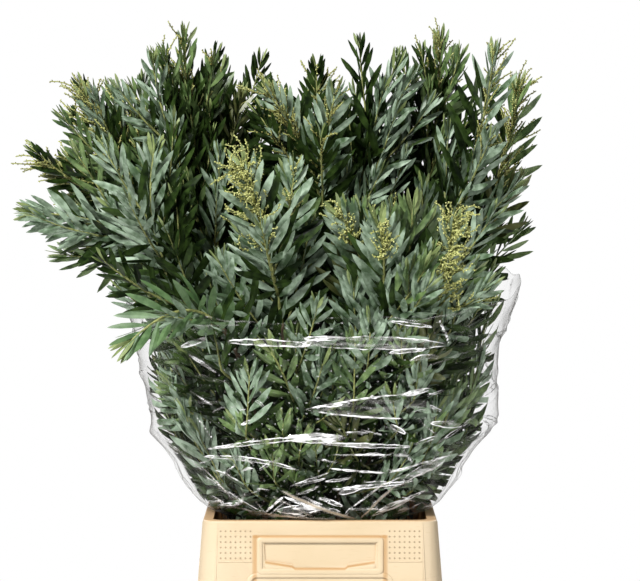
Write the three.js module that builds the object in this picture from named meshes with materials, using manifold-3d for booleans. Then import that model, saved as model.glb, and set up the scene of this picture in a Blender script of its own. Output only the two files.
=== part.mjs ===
// A bunch of cut green wattle in a clear film sleeve, standing in a plastic flower container.
// Millimetres, +Z up. The origin is the middle of the container's flat underside, and -Y is the front.

import * as THREE from "three";
import { mergeVertices } from "three/addons/utils/BufferGeometryUtils.js";
import Module from "manifold-3d";

const wasm = await Module();
wasm.setup();

// The container: a tapered tub with a flared skirt hanging from its rim.
const TUB = {
  height: 335,
  rim: [283, 383],
  rimCorner: 18,
  mouth: [259, 359],
  mouthCorner: 14,
  base: [228, 328],
  baseCorner: 24,
  wall: 2.2,
  floor: 3,
  lip: 4,
  skirtDrop: 108,
  skirt: [300, 400],
  skirtCorner: 27,
  skirtWall: 3.4,
};
// The card holder and the plate pressed into the skirt's two short sides.
const CARD = { width: 151, top: 15, height: 42, depth: 1.8, lip: 8, inset: 8, lipLow: 9, lipHigh: 5 };
const PLATE = { width: 168, top: 63, height: 52, depth: 1.2, corner: 9 };
const GRIP = { width: 120, top: 34, height: 34, depth: 1.6, corner: 12 };
const CORNER_STEPS = 5;

// The sleeve of clear film: half width, half depth and height of its rings, from inside the mouth up.
const FILM = {
  thick: 0.8,
  rings: [
    [119, 168, 309],
    [124, 173, 331],
    [127, 176, 335.4],
    [139, 188, 335.5],
    [151, 199, 345],
    [160, 206, 358],
    [180, 215, 394],
    [208, 226, 432],
    [218, 234, 480],
    [227, 240, 544],
    [240, 247, 585],
    [256, 259, 650],
  ],
  edgeSteps: 2,
  sides: 40,
  roundness: 2.5,
  top: { mean: 609, right: 17, back: 32, ripple: 5 },
};

// The cut stems and their leafy sprays.
const NECK_HEIGHT = 350;
const NECK = { acrossShare: 0.3, deepShare: 0.46, across: 96, deep: 138, spacing: 33, rounds: 60 };
const FOOT_SHARE = 0.72;
const STEM = { radius: 4.4, tipRadius: 3.4, sides: 6, steps: 1, levelFoot: true };
const LEADER = { radius: 3.8, tipRadius: 1.5, steps: 6, sides: 3 };
const TWIG = {
  radius: 2.6,
  tipRadius: 1.2,
  steps: 2,
  sides: 3,
  lowest: 115,
  highest: 65,
  spread: 40,
  sag: 0.06,
  turns: 8,
  places: [0.38, 0.56, 0.74],
};
const LEAF = {
  length: 74,
  width: 19,
  thick: 1.6,
  widest: 0.46,
  thickest: 0.2,
  bow: 3,
  sink: 0.35,
  twist: 0.6,
  angles: [30, 46],
};
const LEADER_LEAVES = 15;
const TWIG_LEAVES = 3;
const RACEME = { length: 46, width: 6.5, thick: 6.5, count: 6, from: 0.62, to: 0.98, angles: [32, 48] };
const BLADE_TURNS = 5;
const TIP_LEAF_REACH = 38;
const TIP_SHRINK = 0.42;
const CLEAR = 0.3;
const OWN_SPACE = 1.2;
const SMALLEST_EDGE = 0.2;
const GOLDEN_ANGLE = Math.PI * (3 - Math.sqrt(5));

// Each spray: its name, its furthest tip, the way its tip grows, and what it carries.
// rise and reach say how far it runs straight up from the neck and straight into its tip, as shares of its length.
const SPRAYS = [
  { name: "tall_left", tip: [-168, 40, 949], aim: [0.05, 0.05, 1] },
  { name: "left_crest", tip: [-211, -40, 916], aim: [-0.15, -0.1, 1] },
  { name: "left_shoulder", tip: [-271, 110, 879], aim: [-0.25, 0.15, 1] },
  { name: "left_brow", tip: [-305, 15, 872], aim: [-0.5, 0, 1] },
  { name: "left_saddle", tip: [-127, 140, 912], aim: [0, 0.15, 1] },
  { name: "far_left_buds", tip: [-367, 75, 774], aim: [-1, 0.1, 0.5], budded: true },
  { name: "far_left", tip: [-378, -90, 705], aim: [-1, -0.1, 0.02], rise: 0.55 },
  { name: "low_left", tip: [-318, 30, 656], aim: [-1, 0.1, -0.15], rise: 0.55 },
  { name: "centre_left", tip: [-77, -60, 868], aim: [-0.65, -0.1, 0.8], budded: true },
  { name: "centre_back", tip: [-3, 150, 888], aim: [0, 0.2, 1], budded: true },
  { name: "centre_right", tip: [105, 20, 912], aim: [0.4, 0, 1] },
  { name: "right_crest", tip: [153, 95, 944], aim: [0, 0.1, 1] },
  { name: "tall_right", tip: [218, -50, 921], aim: [0.12, -0.05, 1], budded: true },
  { name: "far_right", tip: [253, 70, 880], aim: [0.12, 0.1, 1], budded: true },
  { name: "front_left", tip: [-195, -185, 803], aim: [0.2, -0.15, 1] },
  { name: "front_left_buds", tip: [-101, -212, 786], aim: [-0.35, -0.15, 1], budded: true },
  { name: "front_middle_buds", tip: [12, -190, 725], aim: [-0.5, -0.2, 0.8], budded: true },
  { name: "front_middle", tip: [66, -228, 718], aim: [-0.2, -0.15, 1] },
  { name: "front_right", tip: [112, -170, 735], aim: [0, -0.1, 1] },
  { name: "front_right_buds", tip: [160, -215, 716], aim: [0.05, -0.2, 1], budded: true },
  { name: "draped_left", tip: [-243, -272, 537], aim: [-0.75, -0.12, -0.75], rise: 0.62, reach: 0.48, fresh: true },
  { name: "sleeved_right", tip: [150, -165, 640], aim: [0.1, -0.1, 1] },
  { name: "sleeved_left", tip: [-178, -80, 580], aim: [-0.5, -0.1, 0.9] },
  { name: "sleeved_front", tip: [-70, -200, 560], aim: [-0.5, -0.15, 0.9] },
  { name: "back_left", tip: [-165, 225, 790], aim: [-0.3, 0.35, 1] },
  { name: "back_middle", tip: [20, 250, 820], aim: [0, 0.35, 1], budded: true },
  { name: "back_right", tip: [180, 215, 785], aim: [0.3, 0.35, 1] },
  { name: "sleeved_back", tip: [60, 175, 600], aim: [0.2, 0.2, 1] },
];

const COLOURS = {
  tub: { color: 0xf2d9a2, roughness: 0.42, metalness: 0 },
  film: { color: 0xe9efee, roughness: 0.08, metalness: 0, transparent: true, opacity: 0.25 },
  bark: { color: 0x6f5a3c, roughness: 0.85, metalness: 0 },
  leaf: { color: 0x4b6353, roughness: 0.55, metalness: 0 },
  freshLeaf: { color: 0x63964f, roughness: 0.5, metalness: 0 },
  buddedLeaf: { color: 0x66754a, roughness: 0.55, metalness: 0 },
};

function seeded(seed) {
  let state = seed >>> 0;
  return () => {
    state = (Math.imul(state, 1664525) + 1013904223) >>> 0;
    return state / 2 ** 32;
  };
}

// A closed three.js geometry as a solid, and back.
function solidOf(geometry) {
  const bare = new THREE.BufferGeometry();
  bare.setAttribute("position", geometry.getAttribute("position"));
  if (geometry.index) bare.setIndex(geometry.index);
  const merged = mergeVertices(bare, 1e-4);
  return new wasm.Manifold(
    new wasm.Mesh({
      numProp: 3,
      vertProperties: new Float32Array(merged.attributes.position.array),
      triVerts: new Uint32Array(merged.index.array),
    }),
  );
}

function geometryOf(solid) {
  const mesh = solid.getMesh();
  const points = new Float32Array(mesh.numVert * 3);
  for (let i = 0; i < mesh.numVert; i++) {
    points.set(mesh.vertProperties.subarray(i * mesh.numProp, i * mesh.numProp + 3), i * 3);
  }
  const geometry = new THREE.BufferGeometry();
  geometry.setAttribute("position", new THREE.BufferAttribute(points, 3));
  geometry.setIndex(new THREE.BufferAttribute(mesh.triVerts, 1));
  geometry.computeVertexNormals();
  return geometry;
}

// Joins solids and keeps the largest body, so a loose scrap is dropped and a sealed hollow is filled.
function fuse(solids) {
  const bodies = wasm.Manifold.union(solids).asOriginal().simplify(SMALLEST_EDGE).decompose();
  return bodies.reduce((best, body) => (body.volume() > best.volume() ? body : best));
}

// A cylinder whose rings and sides are each moved to where place(level, side, radius) says.
function skin(levels, sides, place, open = false) {
  const geometry = new THREE.CylinderGeometry(1, 1, 1, sides, levels - 1, open);
  const position = geometry.getAttribute("position");
  for (let i = 0; i < position.count; i++) {
    const [across, up, along] = [position.getX(i), position.getY(i), position.getZ(i)];
    const level = Math.round((up + 0.5) * (levels - 1));
    const turn = Math.atan2(across, along) / (2 * Math.PI);
    const side = (Math.round(turn * sides) + sides) % sides;
    const radius = Math.round(Math.hypot(across, along));
    position.setXYZ(i, ...place(level, side, radius));
  }
  return geometry;
}

// A point of a rounded rectangle, of full sizes width and depth, at one of its corner steps.
function roundedPoint([width, depth], corner, side) {
  const quarter = Math.floor(side / CORNER_STEPS);
  const turn = ((quarter + (side % CORNER_STEPS) / (CORNER_STEPS - 1)) * Math.PI) / 2;
  const signX = quarter === 0 || quarter === 3 ? 1 : -1;
  const signY = quarter < 2 ? 1 : -1;
  return [
    signX * (width / 2 - corner) + corner * Math.cos(turn),
    signY * (depth / 2 - corner) + corner * Math.sin(turn),
  ];
}

// A solid through rounded rectangles, each given as size, corner radius and height, from the lowest up.
function roundedLoft(rings) {
  const place = (level, side, radius) => {
    const { size, corner, z } = rings[level];
    const [x, y] = roundedPoint(size, corner, side);
    return [x * radius, y * radius, z];
  };
  return solidOf(skin(rings.length, 4 * CORNER_STEPS, place));
}

const shrunk = ([width, depth], by) => [width - 2 * by, depth - 2 * by];

function roundedOutline(width, top, height, corner) {
  const [half, low, high] = [width / 2, -top - height, -top];
  const outline = new THREE.Shape();
  outline.moveTo(-half + corner, low);
  outline.lineTo(half - corner, low);
  outline.quadraticCurveTo(half, low, half, low + corner);
  outline.lineTo(half, high - corner);
  outline.quadraticCurveTo(half, high, half - corner, high);
  outline.lineTo(-half + corner, high);
  outline.quadraticCurveTo(-half, high, -half, high - corner);
  outline.lineTo(-half, low + corner);
  outline.quadraticCurveTo(-half, low, -half + corner, low);
  return outline;
}

// The card pocket's opening: a band whose lower corners are kept by two slanted lips.
function cardOutline() {
  const half = CARD.width / 2 - CARD.lip;
  const high = -CARD.top - CARD.inset / 2;
  const low = -CARD.top - CARD.height;
  const outline = new THREE.Shape();
  outline.moveTo(-half, high);
  outline.lineTo(-half + 1, low + CARD.lipLow);
  outline.lineTo(-half * 0.5, low + CARD.lipHigh);
  outline.lineTo(-half * 0.46, low);
  outline.lineTo(half * 0.46, low);
  outline.lineTo(half * 0.5, low + CARD.lipHigh);
  outline.lineTo(half - 1, low + CARD.lipLow);
  outline.lineTo(half, high);
  return outline;
}

// The skirt's outer face leans out, so a pressing is cut with a block that leans with it.
function pressInto(tub, outline, depth, turns) {
  const lean = Math.atan2((TUB.skirt[1] - TUB.rim[1]) / 2, TUB.skirtDrop);
  const reach = 12;
  const geometry = new THREE.ExtrudeGeometry(outline, { depth: reach, bevelEnabled: false, curveSegments: 4 });
  const half = turns % 2 ? TUB.rim[0] / 2 : TUB.rim[1] / 2;
  geometry.rotateX(Math.PI / 2);
  geometry.translate(0, depth, 0);
  geometry.rotateX(-lean);
  geometry.translate(0, -half, TUB.height);
  geometry.rotateZ((turns * Math.PI) / 2);
  return tub.subtract(solidOf(geometry));
}

function tubSolid() {
  const skirtFoot = TUB.height - TUB.skirtDrop;
  const outerMouth = shrunk(TUB.mouth, -TUB.wall);
  const body = roundedLoft([
    { size: TUB.base, corner: TUB.baseCorner, z: 0 },
    { size: outerMouth, corner: TUB.mouthCorner + TUB.wall, z: TUB.height },
  ]);
  const inside = roundedLoft([
    { size: shrunk(TUB.base, TUB.wall), corner: TUB.baseCorner - TUB.wall, z: TUB.floor },
    { size: TUB.mouth, corner: TUB.mouthCorner, z: TUB.height },
    { size: TUB.mouth, corner: TUB.mouthCorner, z: TUB.height + TUB.lip },
  ]);
  const skirt = roundedLoft([
    { size: TUB.skirt, corner: TUB.skirtCorner, z: skirtFoot },
    { size: shrunk(TUB.rim, -0.3), corner: TUB.rimCorner, z: TUB.height - 1.5 },
    { size: shrunk(TUB.rim, 1.2), corner: TUB.rimCorner, z: TUB.height },
  ]);
  const gap = roundedLoft([
    { size: shrunk(TUB.skirt, TUB.skirtWall), corner: TUB.skirtCorner - TUB.skirtWall, z: skirtFoot - 1 },
    { size: shrunk(TUB.rim, TUB.skirtWall), corner: TUB.rimCorner - TUB.skirtWall, z: TUB.height - TUB.lip },
  ]);
  let tub = skirt.subtract(gap).add(body).subtract(inside);
  for (const turns of [0, 2]) {
    tub = pressInto(tub, cardOutline(), CARD.depth, turns);
    tub = pressInto(tub, roundedOutline(PLATE.width, PLATE.top, PLATE.height, PLATE.corner), PLATE.depth, turns);
  }
  for (const turns of [1, 3]) {
    tub = pressInto(tub, roundedOutline(GRIP.width, GRIP.top, GRIP.height, GRIP.corner), GRIP.depth, turns);
  }
  return tub;
}

// The film's half width and half depth at a height, between its rings.
function filmHalves(z) {
  const rings = FILM.rings;
  let above = rings.findIndex((ring) => ring[2] > z);
  if (above < 0) above = rings.length - 1;
  if (above < 1) above = 1;
  const [low, high] = [rings[above - 1], rings[above]];
  const share = Math.min(1, Math.max(0, (z - low[2]) / (high[2] - low[2])));
  return [low[0] + (high[0] - low[0]) * share, low[1] + (high[1] - low[1]) * share];
}

// The height of the film's top edge at an angle round the bunch, 0 at the right and a quarter turn at the back.
function filmTop(turn) {
  const { mean, right, back, ripple } = FILM.top;
  return mean + right * Math.cos(turn) + back * Math.sin(turn) + ripple * Math.sin(3 * turn + 1);
}

function ovalPoint(turn, halfWidth, halfDepth) {
  const power = 2 / FILM.roundness;
  const bend = (value) => Math.sign(value) * Math.abs(value) ** power;
  return [halfWidth * bend(Math.cos(turn)), halfDepth * bend(Math.sin(turn))];
}

// 1 on the film's own oval, less inside it.
function ovalShare(x, y, halfWidth, halfDepth) {
  return Math.abs(x / halfWidth) ** FILM.roundness + Math.abs(y / halfDepth) ** FILM.roundness;
}

function filmSolid() {
  const fixed = FILM.rings.filter((ring) => ring[2] < FILM.top.mean - 60);
  const levels = fixed.length + FILM.edgeSteps;
  const outer = (level, turn) => {
    if (level < fixed.length) return fixed[level];
    const share = (level - fixed.length + 1) / FILM.edgeSteps;
    const foot = fixed[fixed.length - 1][2];
    const z = foot + (filmTop(turn) - foot) * share;
    return [...filmHalves(z), z];
  };
  const place = (level, side) => {
    const turn = (side / FILM.sides) * 2 * Math.PI;
    const inside = level >= levels;
    const own = level === 2 * levels ? 0 : inside ? 2 * levels - 1 - level : level;
    const [halfWidth, halfDepth, z] = outer(own, turn);
    const below = outer(Math.max(own - 1, 0), turn);
    const above = outer(Math.min(own + 1, levels - 1), turn);
    const slope = new THREE.Vector2(above[0] - below[0], above[2] - below[2]).normalize();
    const step = inside && level < 2 * levels ? FILM.thick : 0;
    const [x, y] = ovalPoint(turn, halfWidth - step * slope.y, halfDepth - step * slope.y);
    return [x, y, z + step * slope.x];
  };
  return solidOf(skin(2 * levels + 1, FILM.sides, place, true));
}

// Where a point lies to the film: inside it, over its edge, outside it, or too near.
function sideOfFilm(point) {
  const [near, over] = [5, 9];
  if (point.z > filmTop(Math.atan2(point.y, point.x)) + over) return "over";
  if (point.z < FILM.rings[0][2]) return "near";
  const [halfWidth, halfDepth] = filmHalves(point.z);
  if (ovalShare(point.x, point.y, halfWidth - near, halfDepth - near) < 1) return "inside";
  const outside = ovalShare(point.x, point.y, halfWidth + near, halfDepth + near) > 1;
  return outside && point.z > TUB.height + 40 ? "outside" : "near";
}

// Necks are pushed apart in the mouth until no two stems crowd each other.
function neckPoints() {
  const necks = SPRAYS.map(({ tip: [x, y] }) => new THREE.Vector2(x * NECK.acrossShare, y * NECK.deepShare));
  for (let round = 0; round < NECK.rounds; round++) {
    necks.forEach((own, i) => {
      necks.slice(i + 1).forEach((other) => {
        const apart = other.clone().sub(own);
        if (apart.length() >= NECK.spacing) return;
        const push = apart.setLength((NECK.spacing - apart.length()) / 2);
        own.sub(push);
        other.add(push);
      });
      const share = ovalShare(own.x, own.y, NECK.across, NECK.deep);
      if (share > 1) own.multiplyScalar(share ** (-1 / FILM.roundness));
    });
  }
  return necks;
}

// The curves of one cut stem: straight from its foot on the floor to the neck, then bending to its tip.
function routeOf({ tip, aim, rise = 0.4, reach = 0.4 }, neck) {
  const foot = new THREE.Vector3(neck.x * FOOT_SHARE, neck.y * FOOT_SHARE, TUB.floor + CLEAR);
  const top = new THREE.Vector3(neck.x, neck.y, NECK_HEIGHT);
  const way = new THREE.Vector3(...aim).normalize();
  const end = new THREE.Vector3(...tip).addScaledVector(way, -TIP_LEAF_REACH);
  const length = top.distanceTo(end);
  const start = top.clone().addScaledVector(top.clone().sub(foot).normalize(), CLEAR);
  const first = start.clone().addScaledVector(top.clone().sub(foot).normalize(), rise * length);
  const second = end.clone().addScaledVector(way, -reach * length);
  return {
    bare: new THREE.LineCurve3(foot, top),
    leader: new THREE.CubicBezierCurve3(start, first, second, end),
  };
}

// A tapering limb along a curve, its foot cut level where it stands on the floor.
function limb(curve, { radius, tipRadius, steps, sides, levelFoot = false }) {
  const place = (level, side, share) => {
    const t = level / steps;
    const centre = curve.getPoint(t);
    const along = levelFoot && level === 0 ? new THREE.Vector3(0, 0, 1) : curve.getTangent(t);
    const across = new THREE.Vector3(0, 1, 0).cross(along).normalize();
    const other = along.clone().cross(across);
    const turn = (side / sides) * 2 * Math.PI;
    const size = (radius + (tipRadius - radius) * t) * share;
    centre.addScaledVector(across, size * Math.cos(turn)).addScaledVector(other, size * Math.sin(turn));
    return centre.toArray();
  };
  return skin(steps + 1, sides, place);
}

// A direction that leans away from a limb by an angle, at a turn round it.
function leaning(along, turn, angle) {
  const helper = Math.abs(along.z) < 0.9 ? new THREE.Vector3(0, 0, 1) : new THREE.Vector3(0, 1, 0);
  const across = helper.cross(along).normalize();
  const out = across.applyAxisAngle(along, turn);
  return { way: along.clone().multiplyScalar(Math.cos(angle)).addScaledVector(out, Math.sin(angle)), out };
}

// A flat spindle of eight faces, from its root along a direction: a leaf, or a raceme of buds.
function spindle(root, way, side, { length, width, thick }, bow) {
  const normal = way.clone().cross(side).normalize();
  const geometry = new THREE.OctahedronGeometry(1);
  const position = geometry.getAttribute("position");
  for (let i = 0; i < position.count; i++) {
    const [x, y, z] = [position.getX(i), position.getY(i), position.getZ(i)].map(Math.round);
    const along = (x > 0 ? 1 : 0) + Math.abs(y) * LEAF.widest + Math.abs(z) * LEAF.thickest;
    const point = root.clone().addScaledVector(way, along * length).addScaledVector(side, (y * width) / 2);
    point.addScaledVector(normal, (z * thick) / 2 + Math.abs(y) * bow);
    position.setXYZ(i, point.x, point.y, point.z);
  }
  return geometry;
}

// Where a leaf's root lies inside its limb: a little past the limb's middle line.
function sunkRoot({ curve, shape }, t, way, out) {
  const radius = shape.radius + (shape.tipRadius - shape.radius) * t;
  const depth = (LEAF.sink * radius) / Math.max(way.dot(out), 0.3);
  return curve.getPoint(t).addScaledVector(way, -depth);
}

const spare = new THREE.Vector3();

// The distance from a point to a line of points.
function distanceToLine(point, line) {
  let best = Infinity;
  for (let i = 0; i + 1 < line.length; i++) {
    const nearest = new THREE.Line3(line[i], line[i + 1]).closestPointToPoint(point, true, spare);
    best = Math.min(best, nearest.distanceTo(point));
  }
  return best;
}

// One spray, grown from its own seed: a leader, its twigs, their leaves and, where it has them, its racemes.
// Whatever would leave the spray's own space, touch the film or cross another blade or limb is turned or skipped.
class Spray {
  constructor(own, routes, lines) {
    this.own = own;
    this.lines = lines;
    this.spec = SPRAYS[own];
    this.leader = routes[own].leader;
    this.random = seeded(977 + 131 * own);
    this.pieces = [];
  }

  between(low, high) {
    return low + (high - low) * this.random();
  }

  // True where a straight piece between two points keeps to this spray's space and to one side of the film.
  fits(from, to) {
    const samples = [0.08, 0.25, 0.45, 0.65, 0.85, 1].map((share) => from.clone().lerp(to, share));
    const sides = new Set(samples.map(sideOfFilm));
    if (sides.has("near") || (sides.has("inside") && sides.has("outside"))) return false;
    return samples.every((point) => {
      const mine = distanceToLine(point, this.lines[this.own]) + OWN_SPACE;
      return this.lines.every((line, i) => i === this.own || distanceToLine(point, line) > mine);
    });
  }

  // Adds a piece unless it crosses one that is there already, its own limb apart.
  add(geometry, limbPiece = null) {
    const box = new THREE.Box3().setFromBufferAttribute(geometry.getAttribute("position"));
    const solid = solidOf(geometry);
    const crossed = this.pieces.some(
      (piece) => piece !== limbPiece && piece.box.intersectsBox(box) && !piece.solid.intersect(solid).isEmpty(),
    );
    if (crossed) return null;
    const piece = { solid, box };
    this.pieces.push(piece);
    return piece;
  }

  // A leaf or a raceme from a limb at t, turned until it fits.
  addBlade(branch, t, turn, size, angles) {
    const along = branch.curve.getTangent(t);
    for (let attempt = 0; attempt < BLADE_TURNS; attempt++) {
      const angle = THREE.MathUtils.degToRad(this.between(...angles));
      const { way, out } = leaning(along, turn + attempt * GOLDEN_ANGLE, angle);
      const face = way.clone().cross(along).cross(way).applyAxisAngle(way, this.between(-LEAF.twist, LEAF.twist));
      const root = sunkRoot(branch, t, way, out);
      const side = face.clone().normalize();
      const middle = root.clone().addScaledVector(way, LEAF.widest * size.length);
      const edges = [-0.5, 0.5].map((half) => middle.clone().addScaledVector(side, half * size.width));
      if (!this.fits(root, root.clone().addScaledVector(way, size.length))) continue;
      if (!edges.every((edge) => this.fits(middle, edge))) continue;
      const blade = spindle(root, way, side, size, this.between(-1, 1) * (size.bow ?? 0));
      if (this.add(blade, branch.piece)) return;
    }
  }

  addTwig(place, turn) {
    const along = this.leader.getTangent(place);
    const length = THREE.MathUtils.lerp(TWIG.lowest, TWIG.highest, place);
    const root = this.leader.getPoint(place);
    for (let attempt = 0; attempt < TWIG.turns; attempt++) {
      const { way } = leaning(along, turn + attempt * 0.9, THREE.MathUtils.degToRad(TWIG.spread));
      const end = root.clone().addScaledVector(way, length);
      if (!this.fits(root, end)) continue;
      const bend = root.clone().lerp(end, 0.5).addScaledVector(along, -length * TWIG.sag);
      const curve = new THREE.QuadraticBezierCurve3(root, bend, end);
      const piece = this.add(limb(curve, TWIG), this.pieces[0]);
      if (piece) return { curve, shape: TWIG, piece };
    }
    return null;
  }

  grow() {
    const trunk = { curve: this.leader, shape: LEADER, piece: this.add(limb(this.leader, LEADER)) };
    const twigs = TWIG.places.map((place, i) => this.addTwig(place, i * GOLDEN_ANGLE + this.own)).filter(Boolean);
    // The last leaf carries the tip on to the spray's full reach.
    const way = new THREE.Vector3(...this.spec.aim).normalize();
    const tip = { ...LEAF, length: TIP_LEAF_REACH + LEADER.tipRadius * 3, width: LEAF.width * 0.7 };
    const heel = this.leader.getPoint(1).addScaledVector(way, -LEADER.tipRadius * 3);
    this.add(spindle(heel, way, leaning(way, this.own, Math.PI / 2).way, tip, 0), trunk.piece);
    for (let i = 0; this.spec.budded && i < RACEME.count; i++) {
      const t = THREE.MathUtils.lerp(RACEME.from, RACEME.to, i / (RACEME.count - 1));
      this.addBlade(trunk, t, i * GOLDEN_ANGLE + 0.8, RACEME, RACEME.angles);
    }
    const leafAt = (branch, t, turn, scale) => {
      const size = { ...LEAF, length: LEAF.length * scale, width: LEAF.width * scale };
      const [low, high] = LEAF.angles.map((angle) => angle * (1.15 - 0.75 * t ** 3));
      this.addBlade(branch, t, turn, size, [low, high]);
    };
    for (let leaf = 0; leaf < LEADER_LEAVES; leaf++) {
      const t = 0.15 + 0.84 * (leaf / (LEADER_LEAVES - 1)) ** 0.65;
      leafAt(trunk, t, leaf * GOLDEN_ANGLE, 1 - TIP_SHRINK * t ** 5);
    }
    for (const [i, twig] of twigs.entries()) {
      for (let leaf = 0; leaf < TWIG_LEAVES; leaf++) {
        const t = 0.4 + (0.58 * leaf) / (TWIG_LEAVES - 1);
        leafAt(twig, t, leaf * GOLDEN_ANGLE + i, 0.9 - TIP_SHRINK * 0.5 * t ** 2);
      }
    }
    return fuse(this.pieces.map((piece) => piece.solid));
  }
}

function growSprays() {
  const necks = neckPoints();
  const routes = SPRAYS.map((spray, i) => routeOf(spray, necks[i]));
  const lines = routes.map(({ bare, leader }) => [bare.getPoint(0), ...leader.getPoints(24)]);
  return SPRAYS.map((spec, own) => ({
    spec,
    stem: solidOf(limb(routes[own].bare, STEM)),
    mass: new Spray(own, routes, lines).grow(),
  }));
}

function part(name, solid, look) {
  const mesh = new THREE.Mesh(geometryOf(solid), new THREE.MeshStandardMaterial(look));
  mesh.name = name;
  return mesh;
}

const bunch = new THREE.Group();
bunch.add(part("flower_container", tubSolid(), COLOURS.tub));
bunch.add(part("clear_film_sleeve", filmSolid(), COLOURS.film));
for (const { spec, stem, mass } of growSprays()) {
  const look = COLOURS[spec.fresh ? "freshLeaf" : spec.budded ? "buddedLeaf" : "leaf"];
  bunch.add(part("stem_" + spec.name, stem, COLOURS.bark));
  bunch.add(part("spray_" + spec.name, mass, look));
}

export default bunch;
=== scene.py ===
"""A bunch of cut green wattle in a clear film sleeve, standing in its flower container.

Every length is in metres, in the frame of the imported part: +Z up, -Y the front, and the
origin in the middle of the container's flat underside.
"""

from __future__ import annotations

import logging
import math
from dataclasses import dataclass, field
from enum import Enum
from typing import Any, Sequence

import bmesh
import bpy
import numpy as np
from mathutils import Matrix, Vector

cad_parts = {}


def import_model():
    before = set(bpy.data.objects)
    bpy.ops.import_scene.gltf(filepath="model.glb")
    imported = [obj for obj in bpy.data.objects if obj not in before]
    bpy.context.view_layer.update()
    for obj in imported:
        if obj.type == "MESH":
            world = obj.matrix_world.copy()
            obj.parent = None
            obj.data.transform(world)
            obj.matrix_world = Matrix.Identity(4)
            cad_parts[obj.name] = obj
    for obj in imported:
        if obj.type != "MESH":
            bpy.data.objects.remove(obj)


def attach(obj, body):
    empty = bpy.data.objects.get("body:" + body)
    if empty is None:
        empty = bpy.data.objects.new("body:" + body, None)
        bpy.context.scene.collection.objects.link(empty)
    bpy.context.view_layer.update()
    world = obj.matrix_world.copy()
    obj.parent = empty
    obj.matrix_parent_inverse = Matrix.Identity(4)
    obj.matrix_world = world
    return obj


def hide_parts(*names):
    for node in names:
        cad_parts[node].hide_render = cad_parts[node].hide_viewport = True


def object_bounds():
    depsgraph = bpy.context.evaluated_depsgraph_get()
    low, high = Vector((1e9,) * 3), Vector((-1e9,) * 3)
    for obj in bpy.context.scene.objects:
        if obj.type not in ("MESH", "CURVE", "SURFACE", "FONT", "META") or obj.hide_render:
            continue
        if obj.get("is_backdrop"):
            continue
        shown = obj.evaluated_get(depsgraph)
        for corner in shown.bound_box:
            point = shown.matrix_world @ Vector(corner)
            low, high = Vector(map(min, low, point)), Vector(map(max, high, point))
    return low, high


LOG = logging.getLogger("wattle_bunch")
GOLDEN_ANGLE = math.pi * (3.0 - math.sqrt(5.0))
MILLIMETRE = 1e-3
PER_METRE = 1e3
Array = np.ndarray
Span = tuple[float, float]
Vector3 = tuple[float, float, float]


# Shaders


class Socket:
    """A node's output, with the arithmetic of a number: each sum or product adds its Math node."""

    def __init__(self, sheet: "NodeSheet", link: Any) -> None:
        """Keeps the node sheet and the output that this value stands for."""
        self.sheet = sheet
        self.link = link

    def _math(self, operation: str, other: Any, swapped: bool = False, clamp: bool = False) -> "Socket":
        """Joins this value with another number or socket by one Math node.

        Args:
            operation: The Math node's operation.
            other: A number or a Socket.
            swapped: True puts the other value first.
            clamp: True keeps the result between 0 and 1.

        Returns:
            The Math node's value.
        """
        values = [other, self] if swapped else [self, other]
        settings = {"operation": operation, "use_clamp": clamp}
        return self.sheet.node("ShaderNodeMath", settings, {0: values[0], 1: values[1]})[0]

    def __add__(self, other: Any) -> "Socket":
        """Sum."""
        return self._math("ADD", other)

    def __radd__(self, other: Any) -> "Socket":
        """Sum, with the number first."""
        return self._math("ADD", other, swapped=True)

    def __sub__(self, other: Any) -> "Socket":
        """Difference."""
        return self._math("SUBTRACT", other)

    def __rsub__(self, other: Any) -> "Socket":
        """Difference, with the number first."""
        return self._math("SUBTRACT", other, swapped=True)

    def __mul__(self, other: Any) -> "Socket":
        """Product."""
        return self._math("MULTIPLY", other)

    def __rmul__(self, other: Any) -> "Socket":
        """Product, with the number first."""
        return self._math("MULTIPLY", other, swapped=True)

    def __pow__(self, other: Any) -> "Socket":
        """Power."""
        return self._math("POWER", other)

    def fraction(self) -> "Socket":
        """What is left of the value above the next whole number below it."""
        return self._math("FRACT", 0.0)

    def clamped(self) -> "Socket":
        """The value kept between 0 and 1."""
        return self._math("ADD", 0.0, clamp=True)

    def ramp(self, low: float, high: float) -> "Socket":
        """Rises from 0 at low to 1 at high, and stays there."""
        return ((self - low) * (1.0 / (high - low))).clamped()


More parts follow.
